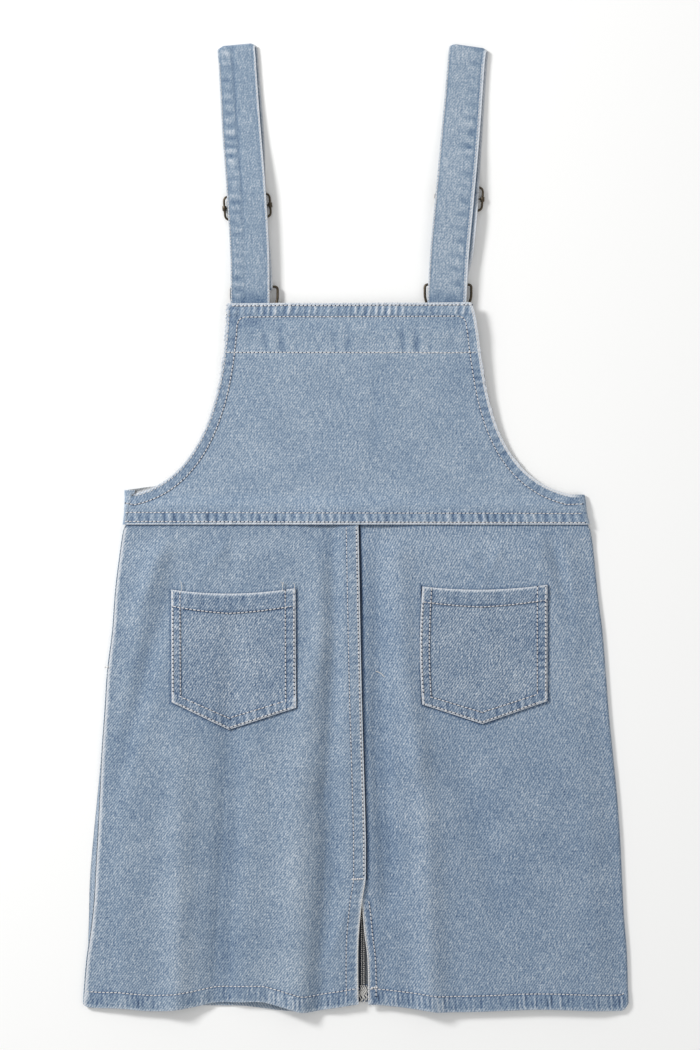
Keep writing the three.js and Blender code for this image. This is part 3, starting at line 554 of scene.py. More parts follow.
def finish_piece(name, bm, materials, replaces=None, wall=CLOTH, up=True):
    name = f"{name}_cloth" if replaces else name
    mesh = bpy.data.meshes.new(name)
    if wall:
        bm.normal_update()
        facing = sum((f.normal.z * f.calc_area() for f in bm.faces), 0.0)
        if (facing > 0) != up:
            bmesh.ops.reverse_faces(bm, faces=bm.faces[:])
    bm.to_mesh(mesh)
    bm.free()
    piece = bpy.data.objects.new(name, mesh)
    bpy.context.scene.collection.objects.link(piece)
    for material in materials:
        mesh.materials.append(material)
    if wall:
        solidify = piece.modifiers.new("cloth wall", "SOLIDIFY")
        solidify.thickness = wall * MM
        solidify.offset = -1.0
        solidify.material_offset = 1
        solidify.material_offset_rim = 0
    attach(piece, "root")
    if replaces:
        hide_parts(replaces)
    return piece


def skirt_point(side, place, v, hem, face):
    row = mix(TUCK_Y, HEM_Y, v)
    edge = SIDES.at(row, "left" if side < 0 else "right") - side * skirt_inset(row)
    s = place(edge, row)
    probe = ring_point(side, s, row, 0, EDGE_STACK, edge, None)[0][0]
    y = row * HEM.at(probe, hem) / HEM_Y if row < 0 else row
    return ring_point(side, s, y, skirt_level(row), EDGE_STACK, edge, face), (s, y)


HALF = EDGE_STACK / 2
TURN = math.pi * HALF


def left_back_place(u):
    def place(edge, y):
        seam = min(-(ROLL.at(y, "seam") - HALF + SEAM_GAP), -0.05)
        centre = edge + HALF - CENTRE.at(y, "upper")
        return mix(centre, seam, u)
    return place


def right_back_place(u):
    def place(edge, y):
        return mix(-(edge - HALF - CENTRE.at(y, "lower")), TURN + UNDER_WRAP, u)
    return place


def front_left_place(u):
    def place(edge, y):
        start = -max(ROLL.at(y, "seam") - HALF, 0.05)
        return mix(start, TURN + FRONT_SEAM - SEAM_GAP / 2 - edge - HALF, u)
    return place


def front_right_place(u):
    def place(edge, y):
        return TURN + mix(edge - HALF - FRONT_SEAM - SEAM_GAP / 2, UNDER_WRAP + SEAM_GAP, u)
    return place


def skirt_piece(name, side, place_of, columns, rows, hem, materials):
    face = (lambda x, y: skirt_height(side, x, y)) if hem == "back" else None

    def rolled(x, y):  # the front where it rolls up round a side, a little rubbed
        return skirt_level(y) + EDGE_STACK, 0.25, 0.0

    def point(u, v):
        (p, wear_and_light, dye_and_shade), (s, y) = skirt_point(side, place_of(u), v, hem, face or rolled)
        if hem == "front" and s >= TURN:
            d = y - HEM.at(p[0], "front")
            _, wear_and_light, dye_and_shade = sewn_band(d, p[0], SKIRT_HEM[side])
            off_centre = abs(p[0])  # painted shade inside the slit, darkest along its middle
            in_slit = ease(24, 14, off_centre) * ease(-310, -322, y)
            dye_and_shade = max(dye_and_shade, (0.8 + 0.4 * ease(7, 4.8, off_centre)) * in_slit)
        return p, wear_and_light, dye_and_shade, (side * s, y)

    bm = cloth_grid(columns, rows, point,
                    hem_rows=lambda c: c.y < HEM.at(c.x, hem) + HEM_TURN)
    piece = finish_piece(name, bm, materials, name, up=hem == "back")


# Bibs

ARM_FOOT = 118.0  # where the armholes' share of the bib's foot starts, from its middle line
TAB_TUCK = 2.4  # the front's tab runs this far beneath the back bib's edge
TAB_GAP = 0.15  # between the two there


def bib_piece(name, kind, columns, rows, materials):
    is_back = kind == "back"
    inset = 0.0 if is_back else 1.6
    tab = ARM_FOOT_Y - inset

    def stack_at(y):
        return BIB_RISE.at(y, "back") + CLOTH

    def edge_at(side, y):
        return SIDES.at(y, "left" if side < 0 else "right")

    def side_x(side, y, seam_y):
        stack = stack_at(y)
        if side < 0:
            rolled = max(ROLL.at(seam_y, "seam"), stack / 2) + SEAM_GAP
            return edge_at(-1, y) + (rolled if is_back else stack / 2)
        return edge_at(1, y) - stack / 2 - (0 if is_back else UNDER_WRAP + SEAM_GAP)

    def rise(side):
        return FRONT_TAB_RISE if (not is_back and side < 0) else 0.0

    def flat_point(foot, head, v):
        x, y = mix(foot[0], head[0], v), mix(foot[1], head[1], v)
        if is_back:
            z, wear_and_light, dye_and_shade = bib_height(x, y)
            return (x, y, z), wear_and_light, dye_and_shade, (x, y)
        arm = min(abs(ARM_SEAMS[k].near(x, y)[0]) for k in (-1, 1))
        _, wear_and_light, dye_and_shade = total(sewn_band(arm, y, BIB_ARMS[-1]), sewn_band(FRONT_TOP_Y - y, x, BIB_TOP),
                              sewn_band(y - WAIST_Y, x, BIB_WAIST))
        return (x, y, BIB_RISE.at(y, "front")), wear_and_light, dye_and_shade, (x, y)

    def turned(side, t, v, extra=0.0):
        y = mix(WAIST_Y, tab + rise(side), v)
        stack = stack_at(y)
        seam = max(ROLL.at(y, "seam") - stack / 2, 0.05)
        s = mix(-seam - TAB_TUCK if not is_back else 0.0, math.pi * stack / 2 + extra, t)
        face = bib_height if is_back else None
        p, wear_and_light, dye_and_shade = ring_point(side, s, y, 0, stack, edge_at(side, y), face)
        if not is_back:
            sunk = (CLOTH + TAB_GAP) * ease(seam - 0.7, seam + 0.2, -s)
            p = (p[0], p[1], p[2] - sunk)
            _, wear_and_light, dye_and_shade = sewn_band(tab + rise(side) - y, s, SIDE_ROLL)
            wear_and_light = max(wear_and_light, 0.2)
        return p, wear_and_light, dye_and_shade, (p[0] + side * max(s, 0), y)

    def arm_point(side, t, v):
        ax, ay = armhole(side, t if is_back else mix(FRONT_CORNER, 1, t), inset)
        foot_x = side * mix(ARM_FOOT, abs(side_x(side, WAIST_Y, WAIST_Y) - BIB_MID), t * t)
        reach = abs(side_x(side, ARM_FOOT_Y, ARM_FOOT_Y + 4) - BIB_MID)
        head = (BIB_MID + side * min(ax, reach), ay + rise(side) * ease(0.84, 0.98, t))
        return flat_point((BIB_MID + foot_x, WAIST_Y), head, v)

    def top_point(t, v):
        lo, hi = -ARM_SIDES[-1]["x0"] + inset, ARM_SIDES[1]["x0"] - inset
        x = BIB_MID + mix(lo, hi, t)
        y = top_edge(x) if is_back else FRONT_TOP_Y
        return flat_point((BIB_MID + mix(-1, 1, t) * ARM_FOOT, WAIST_Y), (x, y), v)

    turn_share, arm_share = (0.03 if is_back else 0.07), 0.24

    def point(u, v):
        if not is_back and u < turn_share:
            return turned(-1, u / turn_share, v)
        if is_back and u > 1 - turn_share:
            return turned(1, (u - 1 + turn_share) / turn_share, v, UNDER_WRAP)
        lo, hi = (0.0, 1 - turn_share) if is_back else (turn_share, 1.0)
        if u <= lo + arm_share:
            return arm_point(-1, 1 - (u - lo) / arm_share, v)
        if u >= hi - arm_share:
            return arm_point(1, (u - hi + arm_share) / arm_share, v)
        return top_point((u - lo - arm_share) / (hi - lo - 2 * arm_share), v)

    bm = cloth_grid(columns, rows, point)
    piece = finish_piece(name, bm, materials, name, up=is_back)
    return piece


# Pockets

def pocket_mouth(p, w):
    """Height in plan of a pocket's top edge, which sags in the middle, at share w across it."""
    sag = mix(p["top0"], p["top1"], 0.5) - p["topm"]
    return mix(p["top0"], p["top1"], w) - sag * 4 * w * (1 - w)


def pocket_edges(side, x, y):
    """Plan distances from a pocket's four edges: left, right, top, bottom."""
    p = POCKETS[side]
    top = pocket_mouth(p, (x - p["x0"]) / (p["x1"] - p["x0"]))
    if x < p["tipx"]:
        bottom = mix(p["bottom0"], p["tipy"], (x - p["x0"]) / (p["tipx"] - p["x0"]))
    else:
        bottom = mix(p["tipy"], p["bottom1"], (x - p["tipx"]) / (p["x1"] - p["tipx"]))
    return x - p["x0"], p["x1"] - x, top - y, y - bottom


def pocket_plan(side, u, v):
    p = POCKETS[side]
    tip = (p["tipx"] - p["x0"]) / (p["x1"] - p["x0"])
    w = u * 2 * tip if u < 0.5 else tip + (u - 0.5) * 2 * (1 - tip)
    x = mix(p["x0"], p["x1"], w)
    top = pocket_mouth(p, w)
    if u < 0.5:
        bottom = mix(p["bottom0"], p["tipy"], u * 2)
    else:
        bottom = mix(p["tipy"], p["bottom1"], (u - 0.5) * 2)
    y = mix(top, bottom, v)
    bow = p["bow"] * math.sin(math.pi * v) if side == "right" else p["bow"] * (v - 0.15)
    x += bow * (1 - w) if side == "right" else bow * 0.4
    return x, y, w, top, bottom


POCKET_HEM = {"left": 16.6, "right": 14.4}  # top edge to the hem's stitch line
POCKET_BAND = 8.6  # side edge to its far stitch line
POCKET_RELIEF = 0.9  # the most that a pocket's turned edges stand up
POCKET_BANDS = {
    side: dict(
        left=Band(POCKET_BAND, seed, thick=0.4, ruck=0.2, pitch=7, dye=0.4, rub=0.25, rim=0.85),
        right=Band(POCKET_BAND, seed + 1, thick=0.4, ruck=0.26, pitch=6.5, dye=0.75, rub=0.25, rim=0.7),
        foot=Band(POCKET_BAND + 1, seed + 2, thick=0.4, ruck=0.26, pitch=6.5, dye=0.7, rub=0.4, rim=0.7),
        hem=Band(POCKET_HEM[side], seed + 3, thick=0.4, ruck=0.14, pitch=12, dye=0.35, rub=0.12, rim=0.8,
                 ditch=0.9),
    )
    for side, seed in (("left", 91.0), ("right", 95.0))
}


def pocket_point(side, u, v):
    sign = -1 if side == "left" else 1
    x, y, w, top, bottom = pocket_plan(side, u, v)
    base = skirt_height(sign, x, y)[0]
    p = POCKETS[side]
    wide = p["x1"] - p["x0"]
    slope = math.cos(math.atan2(abs(p["tipy"] - p["bottom0"]), wide / 2))
    bands = POCKET_BANDS[side]
    dz, wear_and_light, dye_and_shade = total(
        sewn_band(w * wide, y, bands["left"]),
        sewn_band((1 - w) * wide, y, bands["right"]),
        sewn_band((y - bottom) * slope, x, bands["foot"]),
        sewn_band(top - y, x, bands["hem"]),
    )
    return (x, y, base + SEAM_GAP + CLOTH + min(dz, POCKET_RELIEF)), wear_and_light, dye_and_shade


def pocket_height(side, x, y):
    """Level of the thread on a pocket, higher on its turned edges."""
    sign = -1 if side == "left" else 1
    near = min(pocket_edges(side, x, y))
    return skirt_height(sign, x, y)[0] + SEAM_GAP + CLOTH + (0.55 if near < POCKET_BAND else 0.3)


# Straps

def strap_path(strap):
    """Points along the folded strap: (x, y, z, part), from beneath the bib to the slide."""
    t, path = STRAP_THICK, []
    slide_y, buckle_top, fold_y = strap["slide"][1], strap["buckle"][1], strap["fold_y"]

    def push(plan, y, z, part):
        path.append((plan.at(y, "x"), y, z + t / 2, part))

    y = STRAP_ROOT_Y
    while y <= 420:
        push(strap["back"], y, BACK_PART.at(y, "z"), "back")
        y += 2.5
    r = 1.25  # of the turn at the shoulder
    for k in range(17):
        share = k / 16
        a = math.pi * share
        z = mix(2.5, 0.0, (1 - math.cos(a)) / 2)
        x = mix(strap["back"].at(fold_y, "x"), strap["front"].at(fold_y, "x"), share)
        bulge = r * (1 + 0.25 * math.sin(a)) * (1 - math.sin(a))
        path.append((x, fold_y - t / 2 - bulge - 1, z + t / 2, "fold"))
    d = fold_y - slide_y - 12
    while d > -40:
        push(strap["front"], slide_y + d, FRONT_PART.at(d, "z"), "front")
        d -= 2.0
    bar_y, low, high = buckle_top - BUCKLE["wire"] / 2, 0.6, 5.2
    push(strap["front"], bar_y + 10, low, "front")
    bend = (high - low) / 2
    for k in range(13):
        a = math.pi * k / 12
        y = bar_y - bend * math.sin(a)
        path.append((strap["front"].at(y, "x"), y, (low + high) / 2 - bend * math.cos(a) + t / 2, "front"))
    d = bar_y + 5 - slide_y
    while d < 5:
        push(strap["front"], slide_y + d, RETURN_PART.at(d, "z"), "return")
        d += 2.0
    return path


def strap_lean(strap, y, part):
    plan = strap["back"]
    lean = -(plan.at(y + 8, "x") - plan.at(y - 8, "x")) / 16
    at_slide = strap["slide"][2] * ease(strap["buckle"][1] + 4, strap["slide"][1] - 24, y)
    return mix(lean if part == "back" else at_slide, strap["fold_slope"], ease(370, 426, y))


def strap_section(strap, path, k, w):
    """Point across the strap at path point k: w from -1 to 1."""
    x, y, z, part = path[k]
    a, b = path[max(0, k - 1)], path[min(len(path) - 1, k + 1)]
    length = math.hypot(b[1] - a[1], b[2] - a[2]) or 1
    n = (-(b[2] - a[2]) / length, (b[1] - a[1]) / length)
    slope = strap_lean(strap, y, part)
    half = mix(STRAP_WIDTH, STRAP_FOLD_WIDTH, ease(330, 425, y)) / 2 / math.hypot(1, slope)
    corner = 2.2 * ease(0.72, 1.0, abs(w)) * ease(424, 434, y)  # the fold's corners are rounded off
    return Vector((x + w * half, y + w * half * slope - corner, z)), n


STRAP_RIM = dict(thick=0.1, ruck=0.05, pitch=4, dye=0.3, rub=0.2, base=0)
STRAP_RIMS = {
    "left": (Band(2.0, 101.0, rim=0.45, ditch=0.2, **STRAP_RIM),
             Band(2.6, 102.0, rim=1.0, rim_wide=2.2, ditch=0.25, **STRAP_RIM)),
    "right": (Band(2.0, 103.0, rim=0.6, ditch=0.3, **STRAP_RIM),
              Band(3.4, 104.0, rim=1.0, rim_wide=2.8, ditch=0.6, **STRAP_RIM)),
}


def strap_marks(side, strap, w, run, part, y):
    """Ridge of the tube's inner seam, edge wear, puckers, and painted shade at the root and along the
    stitch lines: (extra height, wear, dye and painted shade).
    """
    seed = 101 if side == "left" else 107
    half = STRAP_WIDTH / 2
    rims = STRAP_RIMS[side]
    edges = [sewn_band((1 + w) * half, run, rims[0]), sewn_band((1 - w) * half, run, rims[1])]
    ridge = strap["ridge"]
    off = (w - ridge) * half
    line = hump(off, 0, 1.5)
    r = rope(run, off, seed + 2, 10 if side == "left" else 12.5)
    band_at = -0.62 if side == "left" else 0.52
    band = hump((w - band_at) * half, 0, 6.2)
    crest = -0.2 * line if side == "left" else 0.0
    puckers = (crest + 0.14 * r * band, 0.42 * max(0, r) * band, 0.72 * max(0, -r) * band)
    if part != "back":
        return total(*edges, puckers)
    # painted shade where the strap comes out from under the bib's top edge
    root = ease(216, 205, y) * (0.5 + 0.4 * noise.noise((w * 2.5, y / 9, seed)))
    flat = 0.5 * line * ease(225, 330, y) if side == "left" else 0.0
    return total(*edges, puckers, (0, 0.18 if side == "right" else 0.0, max(flat, root)))


def strap_piece(side, materials):
    strap = STRAPS[side]
    path = strap_path(strap)
    runs = [0.0]
    for a, b in zip(path, path[1:]):
        runs.append(runs[-1] + math.dist(a[:3], b[:3]))
    length = runs[-1]
    name = f"strap_{side}"

    def point(u, v):
        run = v * length
        k = min(len(runs) - 2, max(0, bisect_right(runs, run) - 1))
        t = (run - runs[k]) / ((runs[k + 1] - runs[k]) or 1)
        w = u * 2 - 1
        pa, na = strap_section(strap, path, k, w)
        pb, nb = strap_section(strap, path, k + 1, w)
        p, n = pa.lerp(pb, t), (mix(na[0], nb[0], t), mix(na[1], nb[1], t))
        part = path[k][3]
        dz, wear_and_light, dye_and_shade = strap_marks(side, strap, w, run, part, p.y)
        p += Vector((0, n[0], n[1])) * dz * (1 if part == "back" else 0.4)
        return tuple(p), wear_and_light, dye_and_shade, (w * STRAP_WIDTH / 2, run)

    bm = cloth_grid(30, int(length / 1.6), point)
    piece = finish_piece(name, bm, materials, name, wall=None)
    solidify = piece.modifiers.new("folded cloth", "SOLIDIFY")
    solidify.thickness, solidify.offset = STRAP_THICK * MM, 0.0
    return path


# Sewing

def sew(bm, points, height, pitch=3.6, long=3.0, seed=0.0, lift_by=0.1, thick=THREAD, hole_shades=True):
    """Topstitches along a line in plan, each a small oval of thread, with a dark disc of painted shade at
    the needle hole between two.
    """
    pts = [Vector(p) for p in points]
    run = pitch / 2
    count = 0
    for a, b in zip(pts, pts[1:]):
        length = (b - a).length
        while run < length:
            centre = a + (b - a) * (run / length)
            way = (b - a).normalized()
            jitter = noise.noise((count * 1.7, seed, 0.3))
            side = Vector((-way.y, way.x)) * 0.12 * jitter
            c = centre + side
            ends = [height(*(c + way * long * 0.5 * e)) for e in (-1, 1)]
            tilt = math.atan2(ends[1] - ends[0], long)
            spot = Vector((c.x, c.y, sum(ends) / 2 + lift_by))
            turn = Matrix.Rotation(math.atan2(way.y, way.x) + 0.10 + 0.05 * jitter, 4, "Z")
            pose = Matrix.Translation(spot * MM) @ turn @ Matrix.Rotation(-tilt, 4, "Y")
            size = Matrix.Diagonal((long / 2 * MM, thick / 2 * 1.15 * MM, thick / 2 * MM, 1))
            bmesh.ops.create_uvsphere(bm, u_segments=5, v_segments=4, radius=1, matrix=pose @ size
                                      @ Matrix.Rotation(math.pi / 2, 4, "Y"))
            # painted shade: a flat dark disc at each needle hole, standing for indigo pulled in and the
            # shade in the hole
            if hole_shades:
                at = c + way * pitch / 2
                dip = Matrix.Translation(Vector((at.x, at.y, height(*at) + 0.07)) * MM) @ turn
                made = bmesh.ops.create_circle(bm, cap_ends=True, segments=6,
                                               radius=NEEDLE_HOLE_RADIUS * MM, matrix=dip)
                for face in {f for v in made["verts"] for f in v.link_faces}:
                    face.material_index = 1
            run += pitch
            count += 1
        run -= length


def thread_piece(name, runs, material):
    bm = bmesh.new()
    for run in runs:
        sew(bm, **run)
    for face in bm.faces:
        face.smooth = True
    piece = finish_piece(name, bm, [material, NEEDLE_HOLE_SHADE], wall=None)


# Colours and materials

def srgb(code, alpha=1.0):
    def linear(c):
        return c / 12.92 if c <= 0.04045 else ((c + 0.055) / 1.055) ** 2.4
    return (*(linear(int(code[k:k + 2], 16) / 255) for k in (1, 3, 5)), alpha)


def node(tree, kind, at=(0, 0), links=None, **settings):
    """Adds a node: keyword settings are its properties or, if it has such a socket, its inputs."""
    made = tree.nodes.new(kind)
    made.location = at
    for key, value in settings.items():
        if hasattr(made, key):
            setattr(made, key, value)
        else:
            made.inputs[key.replace("_", " ")].default_value = value
    for socket, source in (links or {}).items():
        tree.links.new(source, made.inputs[socket])
    return made


TWILL_PITCH, TWILL_TURN = 0.0020, math.radians(35)
# The dark colour is mostly painted shade, at stitch ditches, pocket edges, the seam lap and the slit, and
# also the deepest roping dye; the pale one is worn edges.
SHADE_AND_DYE_DARK, WORN_PALE = "#202b3c", "#d3d7dd"


def fresh(name):
    material = bpy.data.materials.new(name)
    material.use_nodes = True
    material.node_tree.nodes.clear()
    return material, material.node_tree


def denim(name, dyed, body, bare, contrast=1.0, wale=1.0):
    """Light-wash cotton twill: blue warp over white weft, matt and faintly fuzzy.

    The diagonal of such cloth repeats every 0.8 mm; it is drawn at 2 mm so that it shows.
    """
    material, tree = fresh(name)
    uv = node(tree, "ShaderNodeUVMap", uv_map="grain").outputs[0]

    def stretched(turn, x, y):
        return node(tree, "ShaderNodeMapping", links={0: uv}, Rotation=(0, 0, turn),
                    Scale=(x, y, 1)).outputs[0]

    def texture(place, scale, detail, rough=0.5):
        return node(tree, "ShaderNodeTexNoise", links={0: place}, Scale=scale, Detail=detail,
                    Roughness=rough).outputs["Fac"]

    twill = node(tree, "ShaderNodeTexWave", links={0: stretched(TWILL_TURN, 1, 1)}, wave_type="BANDS",
                 bands_direction="X", Scale=math.pi / 10 / TWILL_PITCH, Distortion=2.6, Detail=2.0,
                 Detail_Scale=1.8).outputs["Fac"]
    speck = texture(uv, 600.0, 2.0, 0.65)  # ends of weft showing between the warp
    layers = [
        (twill, 0.34 * wale),
        (speck, 1.10),
        (texture(stretched(0, 1.0, 0.16), 640.0, 1.0), 0.42 + 0.15 * (1 - wale)),  # slubs along the warp
        (texture(stretched(0, 0.2, 1.0), 560.0, 1.0), 0.20),  # and along the weft
        (texture(stretched(TWILL_TURN, 1.0, 0.35), 700.0, 1.0), 0.50 * wale),
        (texture(uv, 26.0, 3.0), 0.26),  # cloudy wash
    ]
    tone = None
    for source, gain in layers:
        part = node(tree, "ShaderNodeMath", operation="MULTIPLY_ADD", links={0: source})
        part.inputs[1].default_value = gain * contrast
        part.inputs[2].default_value = (0.5 / len(layers)) - 0.5 * gain * contrast
        if tone is None:
            tone = part.outputs[0]
        else:
            tone = node(tree, "ShaderNodeMath", operation="ADD",
                        links={0: tone, 1: part.outputs[0]}).outputs[0]
    for attribute, gain in (("dye_and_shade", -0.46), ("wear_and_light", 0.40)):  # dye kept in hollows and painted shade darken; wear rubbed off crests and painted light on fold crests lighten
        amount = node(tree, "ShaderNodeAttribute", attribute_name=attribute).outputs["Fac"]
        moved = node(tree, "ShaderNodeMath", operation="MULTIPLY_ADD", links={0: amount, 2: tone})
        moved.inputs[1].default_value = gain
        tone = moved.outputs[0]
    wash = node(tree, "ShaderNodeValToRGB", links={0: tone})
    wash.color_ramp.elements[0].color, wash.color_ramp.elements[1].color = srgb(dyed), srgb(bare)
    wash.color_ramp.elements.new(0.5).color = srgb(body)

    grain = node(tree, "ShaderNodeMapRange", links={0: twill})  # rubbed edges show the ends of the wales
    for socket, value in ((1, 0.0), (2, 1.0), (3, 0.55), (4, 1.45)):
        grain.inputs[socket].default_value = value

    def laid_over(under, attribute, code, start, end, broken=True):
        """Blends a colour in as an attribute rises from start to end, broken up by the weave."""
        amount = node(tree, "ShaderNodeAttribute", attribute_name=attribute).outputs["Fac"]
        share = node(tree, "ShaderNodeMapRange", links={0: amount})
        share.inputs[1].default_value, share.inputs[2].default_value = start, end
        fac = share.outputs[0]
        if broken:
            fac = node(tree, "ShaderNodeMath", operation="MULTIPLY", use_clamp=True,
                       links={0: fac, 1: grain.outputs[0]}).outputs[0]
        over = node(tree, "ShaderNodeMix", data_type="RGBA", links={0: fac, 6: under})
        over.inputs[7].default_value = srgb(code)
        return over.outputs[2]

    # the darkest marks turn near-black: painted shade, with the deepest roping dye
    colour = laid_over(wash.outputs[0], "dye_and_shade", SHADE_AND_DYE_DARK, 0.75, 1.05, broken=False)
    colour = laid_over(colour, "wear_and_light", WORN_PALE, 0.25, 1.0)
    bump = node(tree, "ShaderNodeBump", links={"Height": tone}, Strength=0.45, Distance=0.0006)
    cloth = node(tree, "ShaderNodeBsdfPrincipled", links={"Base Color": colour, "Normal": bump.outputs[0]},
                 Roughness=0.92, IOR=1.5)
    cloth.inputs["Sheen Weight"].default_value = 0.1
    cloth.inputs["Sheen Roughness"].default_value = 0.6
    cloth.inputs["Specular IOR Level"].default_value = 0.2
    node(tree, "ShaderNodeOutputMaterial", links={"Surface": cloth.outputs[0]})
    return material


def cotton_thread(name, code, dark):
    """Twisted cotton topstitch thread, matt, a little soiled between its plies."""
    material, tree = fresh(name)
    place = node(tree, "ShaderNodeTexCoord").outputs["Object"]
    ply = node(tree, "ShaderNodeTexNoise", links={0: place}, Scale=900.0, Detail=1.0)
    colour = node(tree, "ShaderNodeMix", data_type="RGBA", links={0: ply.outputs["Fac"]})
    colour.inputs[6].default_value, colour.inputs[7].default_value = srgb(dark), srgb(code)
    cotton = node(tree, "ShaderNodeBsdfPrincipled", links={"Base Color": colour.outputs[2]}, Roughness=0.8)
    cotton.inputs["Specular IOR Level"].default_value = 0.25
    node(tree, "ShaderNodeOutputMaterial", links={"Surface": cotton.outputs[0]})
    return material


def antique_brass(name):
    """Brass wire with a dark lacquered patina, rubbed bright in patches."""
    material, tree = fresh(name)
    place = node(tree, "ShaderNodeTexCoord").outputs["Object"]
    stain = node(tree, "ShaderNodeTexNoise", links={0: place}, Scale=420.0, Detail=3.0)
    colour = node(tree, "ShaderNodeMix", data_type="RGBA", links={0: stain.outputs["Fac"]})
    colour.inputs[6].default_value, colour.inputs[7].default_value = srgb("#2c2722"), srgb("#6f6455")
    rough = node(tree, "ShaderNodeMapRange", links={0: stain.outputs["Fac"]})
    rough.inputs[3].default_value, rough.inputs[4].default_value = 0.28, 0.5
    metal = node(tree, "ShaderNodeBsdfPrincipled", Metallic=1.0,
                 links={"Base Color": colour.outputs[2], "Roughness": rough.outputs[0]})
    node(tree, "ShaderNodeOutputMaterial", links={"Surface": metal.outputs[0]})
    return material


def plain(name, code, roughness):
    material, tree = fresh(name)
    paint = node(tree, "ShaderNodeBsdfPrincipled", Roughness=roughness)
    paint.inputs["Base Color"].default_value = srgb(code)
    paint.inputs["Specular IOR Level"].default_value = 0.1
    node(tree, "ShaderNodeOutputMaterial", links={"Surface": paint.outputs[0]})
    return material


BIB_CLOTH = denim("bib light-wash twill", "#475f80", "#8598ac", "#d0d6dc", contrast=1.04, wale=0.75)
LEFT_CLOTH = denim("left skirt light-wash twill", "#40587a", "#7e91a5", "#ccd3da", contrast=1.06, wale=0.9)
RIGHT_CLOTH = denim("right skirt light-wash twill", "#3d5577", "#7b8fa5", "#c9d0d7", contrast=1.06,
                    wale=0.9)
POCKET_CLOTH = denim("pocket light-wash twill", "#3b5273", "#788ba0", "#cdd3d9", contrast=1.2)
STRAP_CLOTH = denim("strap light-wash twill", "#45607f", "#8496a9", "#d2d8de", contrast=0.86, wale=0.4)
# the wrong side's pale weft colours are darkened as painted shade, for where it shows inside the slit
SHADED_WRONG_SIDE = denim("twill wrong side, mostly weft, darkened as painted shade", "#5f656c", "#8f9295", "#c4c3bf", contrast=0.8)
TOPSTITCH = cotton_thread("greyish topstitch thread", "#f2f0ee", "#bdbcbe")
SERGING = cotton_thread("pale overlock thread", "#eceae6", "#aeaca8")
# dark discs of painted shade at the needle holes, with indigo pulled in
NEEDLE_HOLE_SHADE = plain("needle holes, pulled-in indigo and painted shade", "#2c394f", 0.95)
BRASS = antique_brass("antique brass wire")


def wall_set(outer):
    """Outside and inside of a panel, then of its hem band, where turned cloth shows on both sides."""
    return [outer, SHADED_WRONG_SIDE, outer, outer]


# Making the pieces

skirt_piece("back_skirt_left", -1, left_back_place, 126, 224, "back", wall_set(LEFT_CLOTH))
skirt_piece("back_skirt_right", 1, right_back_place, 126, 224, "back", wall_set(RIGHT_CLOTH))
skirt_piece("front_skirt_left", -1, front_left_place, 66, 112, "front", wall_set(LEFT_CLOTH))
skirt_piece("front_skirt_right", 1, front_right_place, 58, 112, "front", wall_set(RIGHT_CLOTH))

back_bib = bib_piece("back_bib", "back", 320, 118, wall_set(BIB_CLOTH))
front_bib = bib_piece("front_bib", "front", 130, 50, wall_set(BIB_CLOTH))

for side in ("left", "right"):
    sign = -1 if side == "left" else 1
    name = f"pocket_{side}"

    def point(u, v, side=side):
        (x, y, z), wear_and_light, dye_and_shade = pocket_point(side, u, v)
        return (x, y, z), wear_and_light, dye_and_shade, (x, y)

    bm = cloth_grid(72, 78, point)
    pocket = finish_piece(name, bm, wall_set(POCKET_CLOTH), name)

strap_paths = {side: strap_piece(side, [STRAP_CLOTH]) for side in ("left", "right")}


def rounded(corners):
    """Closed path through corners (x, y, rounding)."""
    spots = [Vector((x, y)) for x, y, _ in corners]
    path = []
    for k, (_, _, r) in enumerate(corners):
        here = spots[k]
        before, after = spots[k - 1] - here, spots[(k + 1) % len(spots)] - here
        a = here + before.normalized() * min(r, before.length / 2.02)
        b = here + after.normalized() * min(r, after.length / 2.02)
        path += [a * (1 - t) ** 2 + here * 2 * t * (1 - t) + b * t * t for t in (j / 7 for j in range(8))]
    return path


def tube(bm, path, diameter, closed=False, sides=3):
    """Adds a round tube along a path of (x, y, z) points."""
    curve = bpy.data.curves.new("wire", "CURVE")
    curve.dimensions, curve.bevel_depth, curve.bevel_resolution = "3D", diameter / 2 * MM, sides
    curve.use_fill_caps = not closed
    line = curve.splines.new("POLY")
    line.points.add(len(path) - 1)
    for point, place in zip(line.points, path):
        point.co = (*(v * MM for v in place), 1)
    line.use_cyclic_u = closed
    carrier = bpy.data.objects.new("wire", curve)
    mesh = bpy.data.meshes.new_from_object(carrier)
    bm.from_mesh(mesh)
    bpy.data.objects.remove(carrier)
    bpy.data.curves.remove(curve)
    bpy.data.meshes.remove(mesh)


def rod(bm, at, diameter, long, axis, level):
    turn = Matrix.Rotation(math.pi / 2, 4, "Y" if axis == "X" else "X")
    place = Matrix.Translation(Vector((*at, level)) * MM) @ turn
    made = bmesh.ops.create_cone(bm, cap_ends=True, segments=18, radius1=diameter / 2 * MM,
                                 radius2=diameter / 2 * MM, depth=long * MM, matrix=place)
    rims = {e for v in made["verts"] for e in v.link_edges
            if any(len(f.verts) > 4 for f in e.link_faces)}
    bmesh.ops.bevel(bm, geom=list(rims), offset=diameter * 0.12 * MM, affect="EDGES", segments=2,
                    profile=0.5, material=-1)


def hardware_piece(name, bm):
    for face in bm.faces:
        face.smooth = len(face.verts) < 5
    piece = finish_piece(name, bm, [BRASS], name, wall=None)


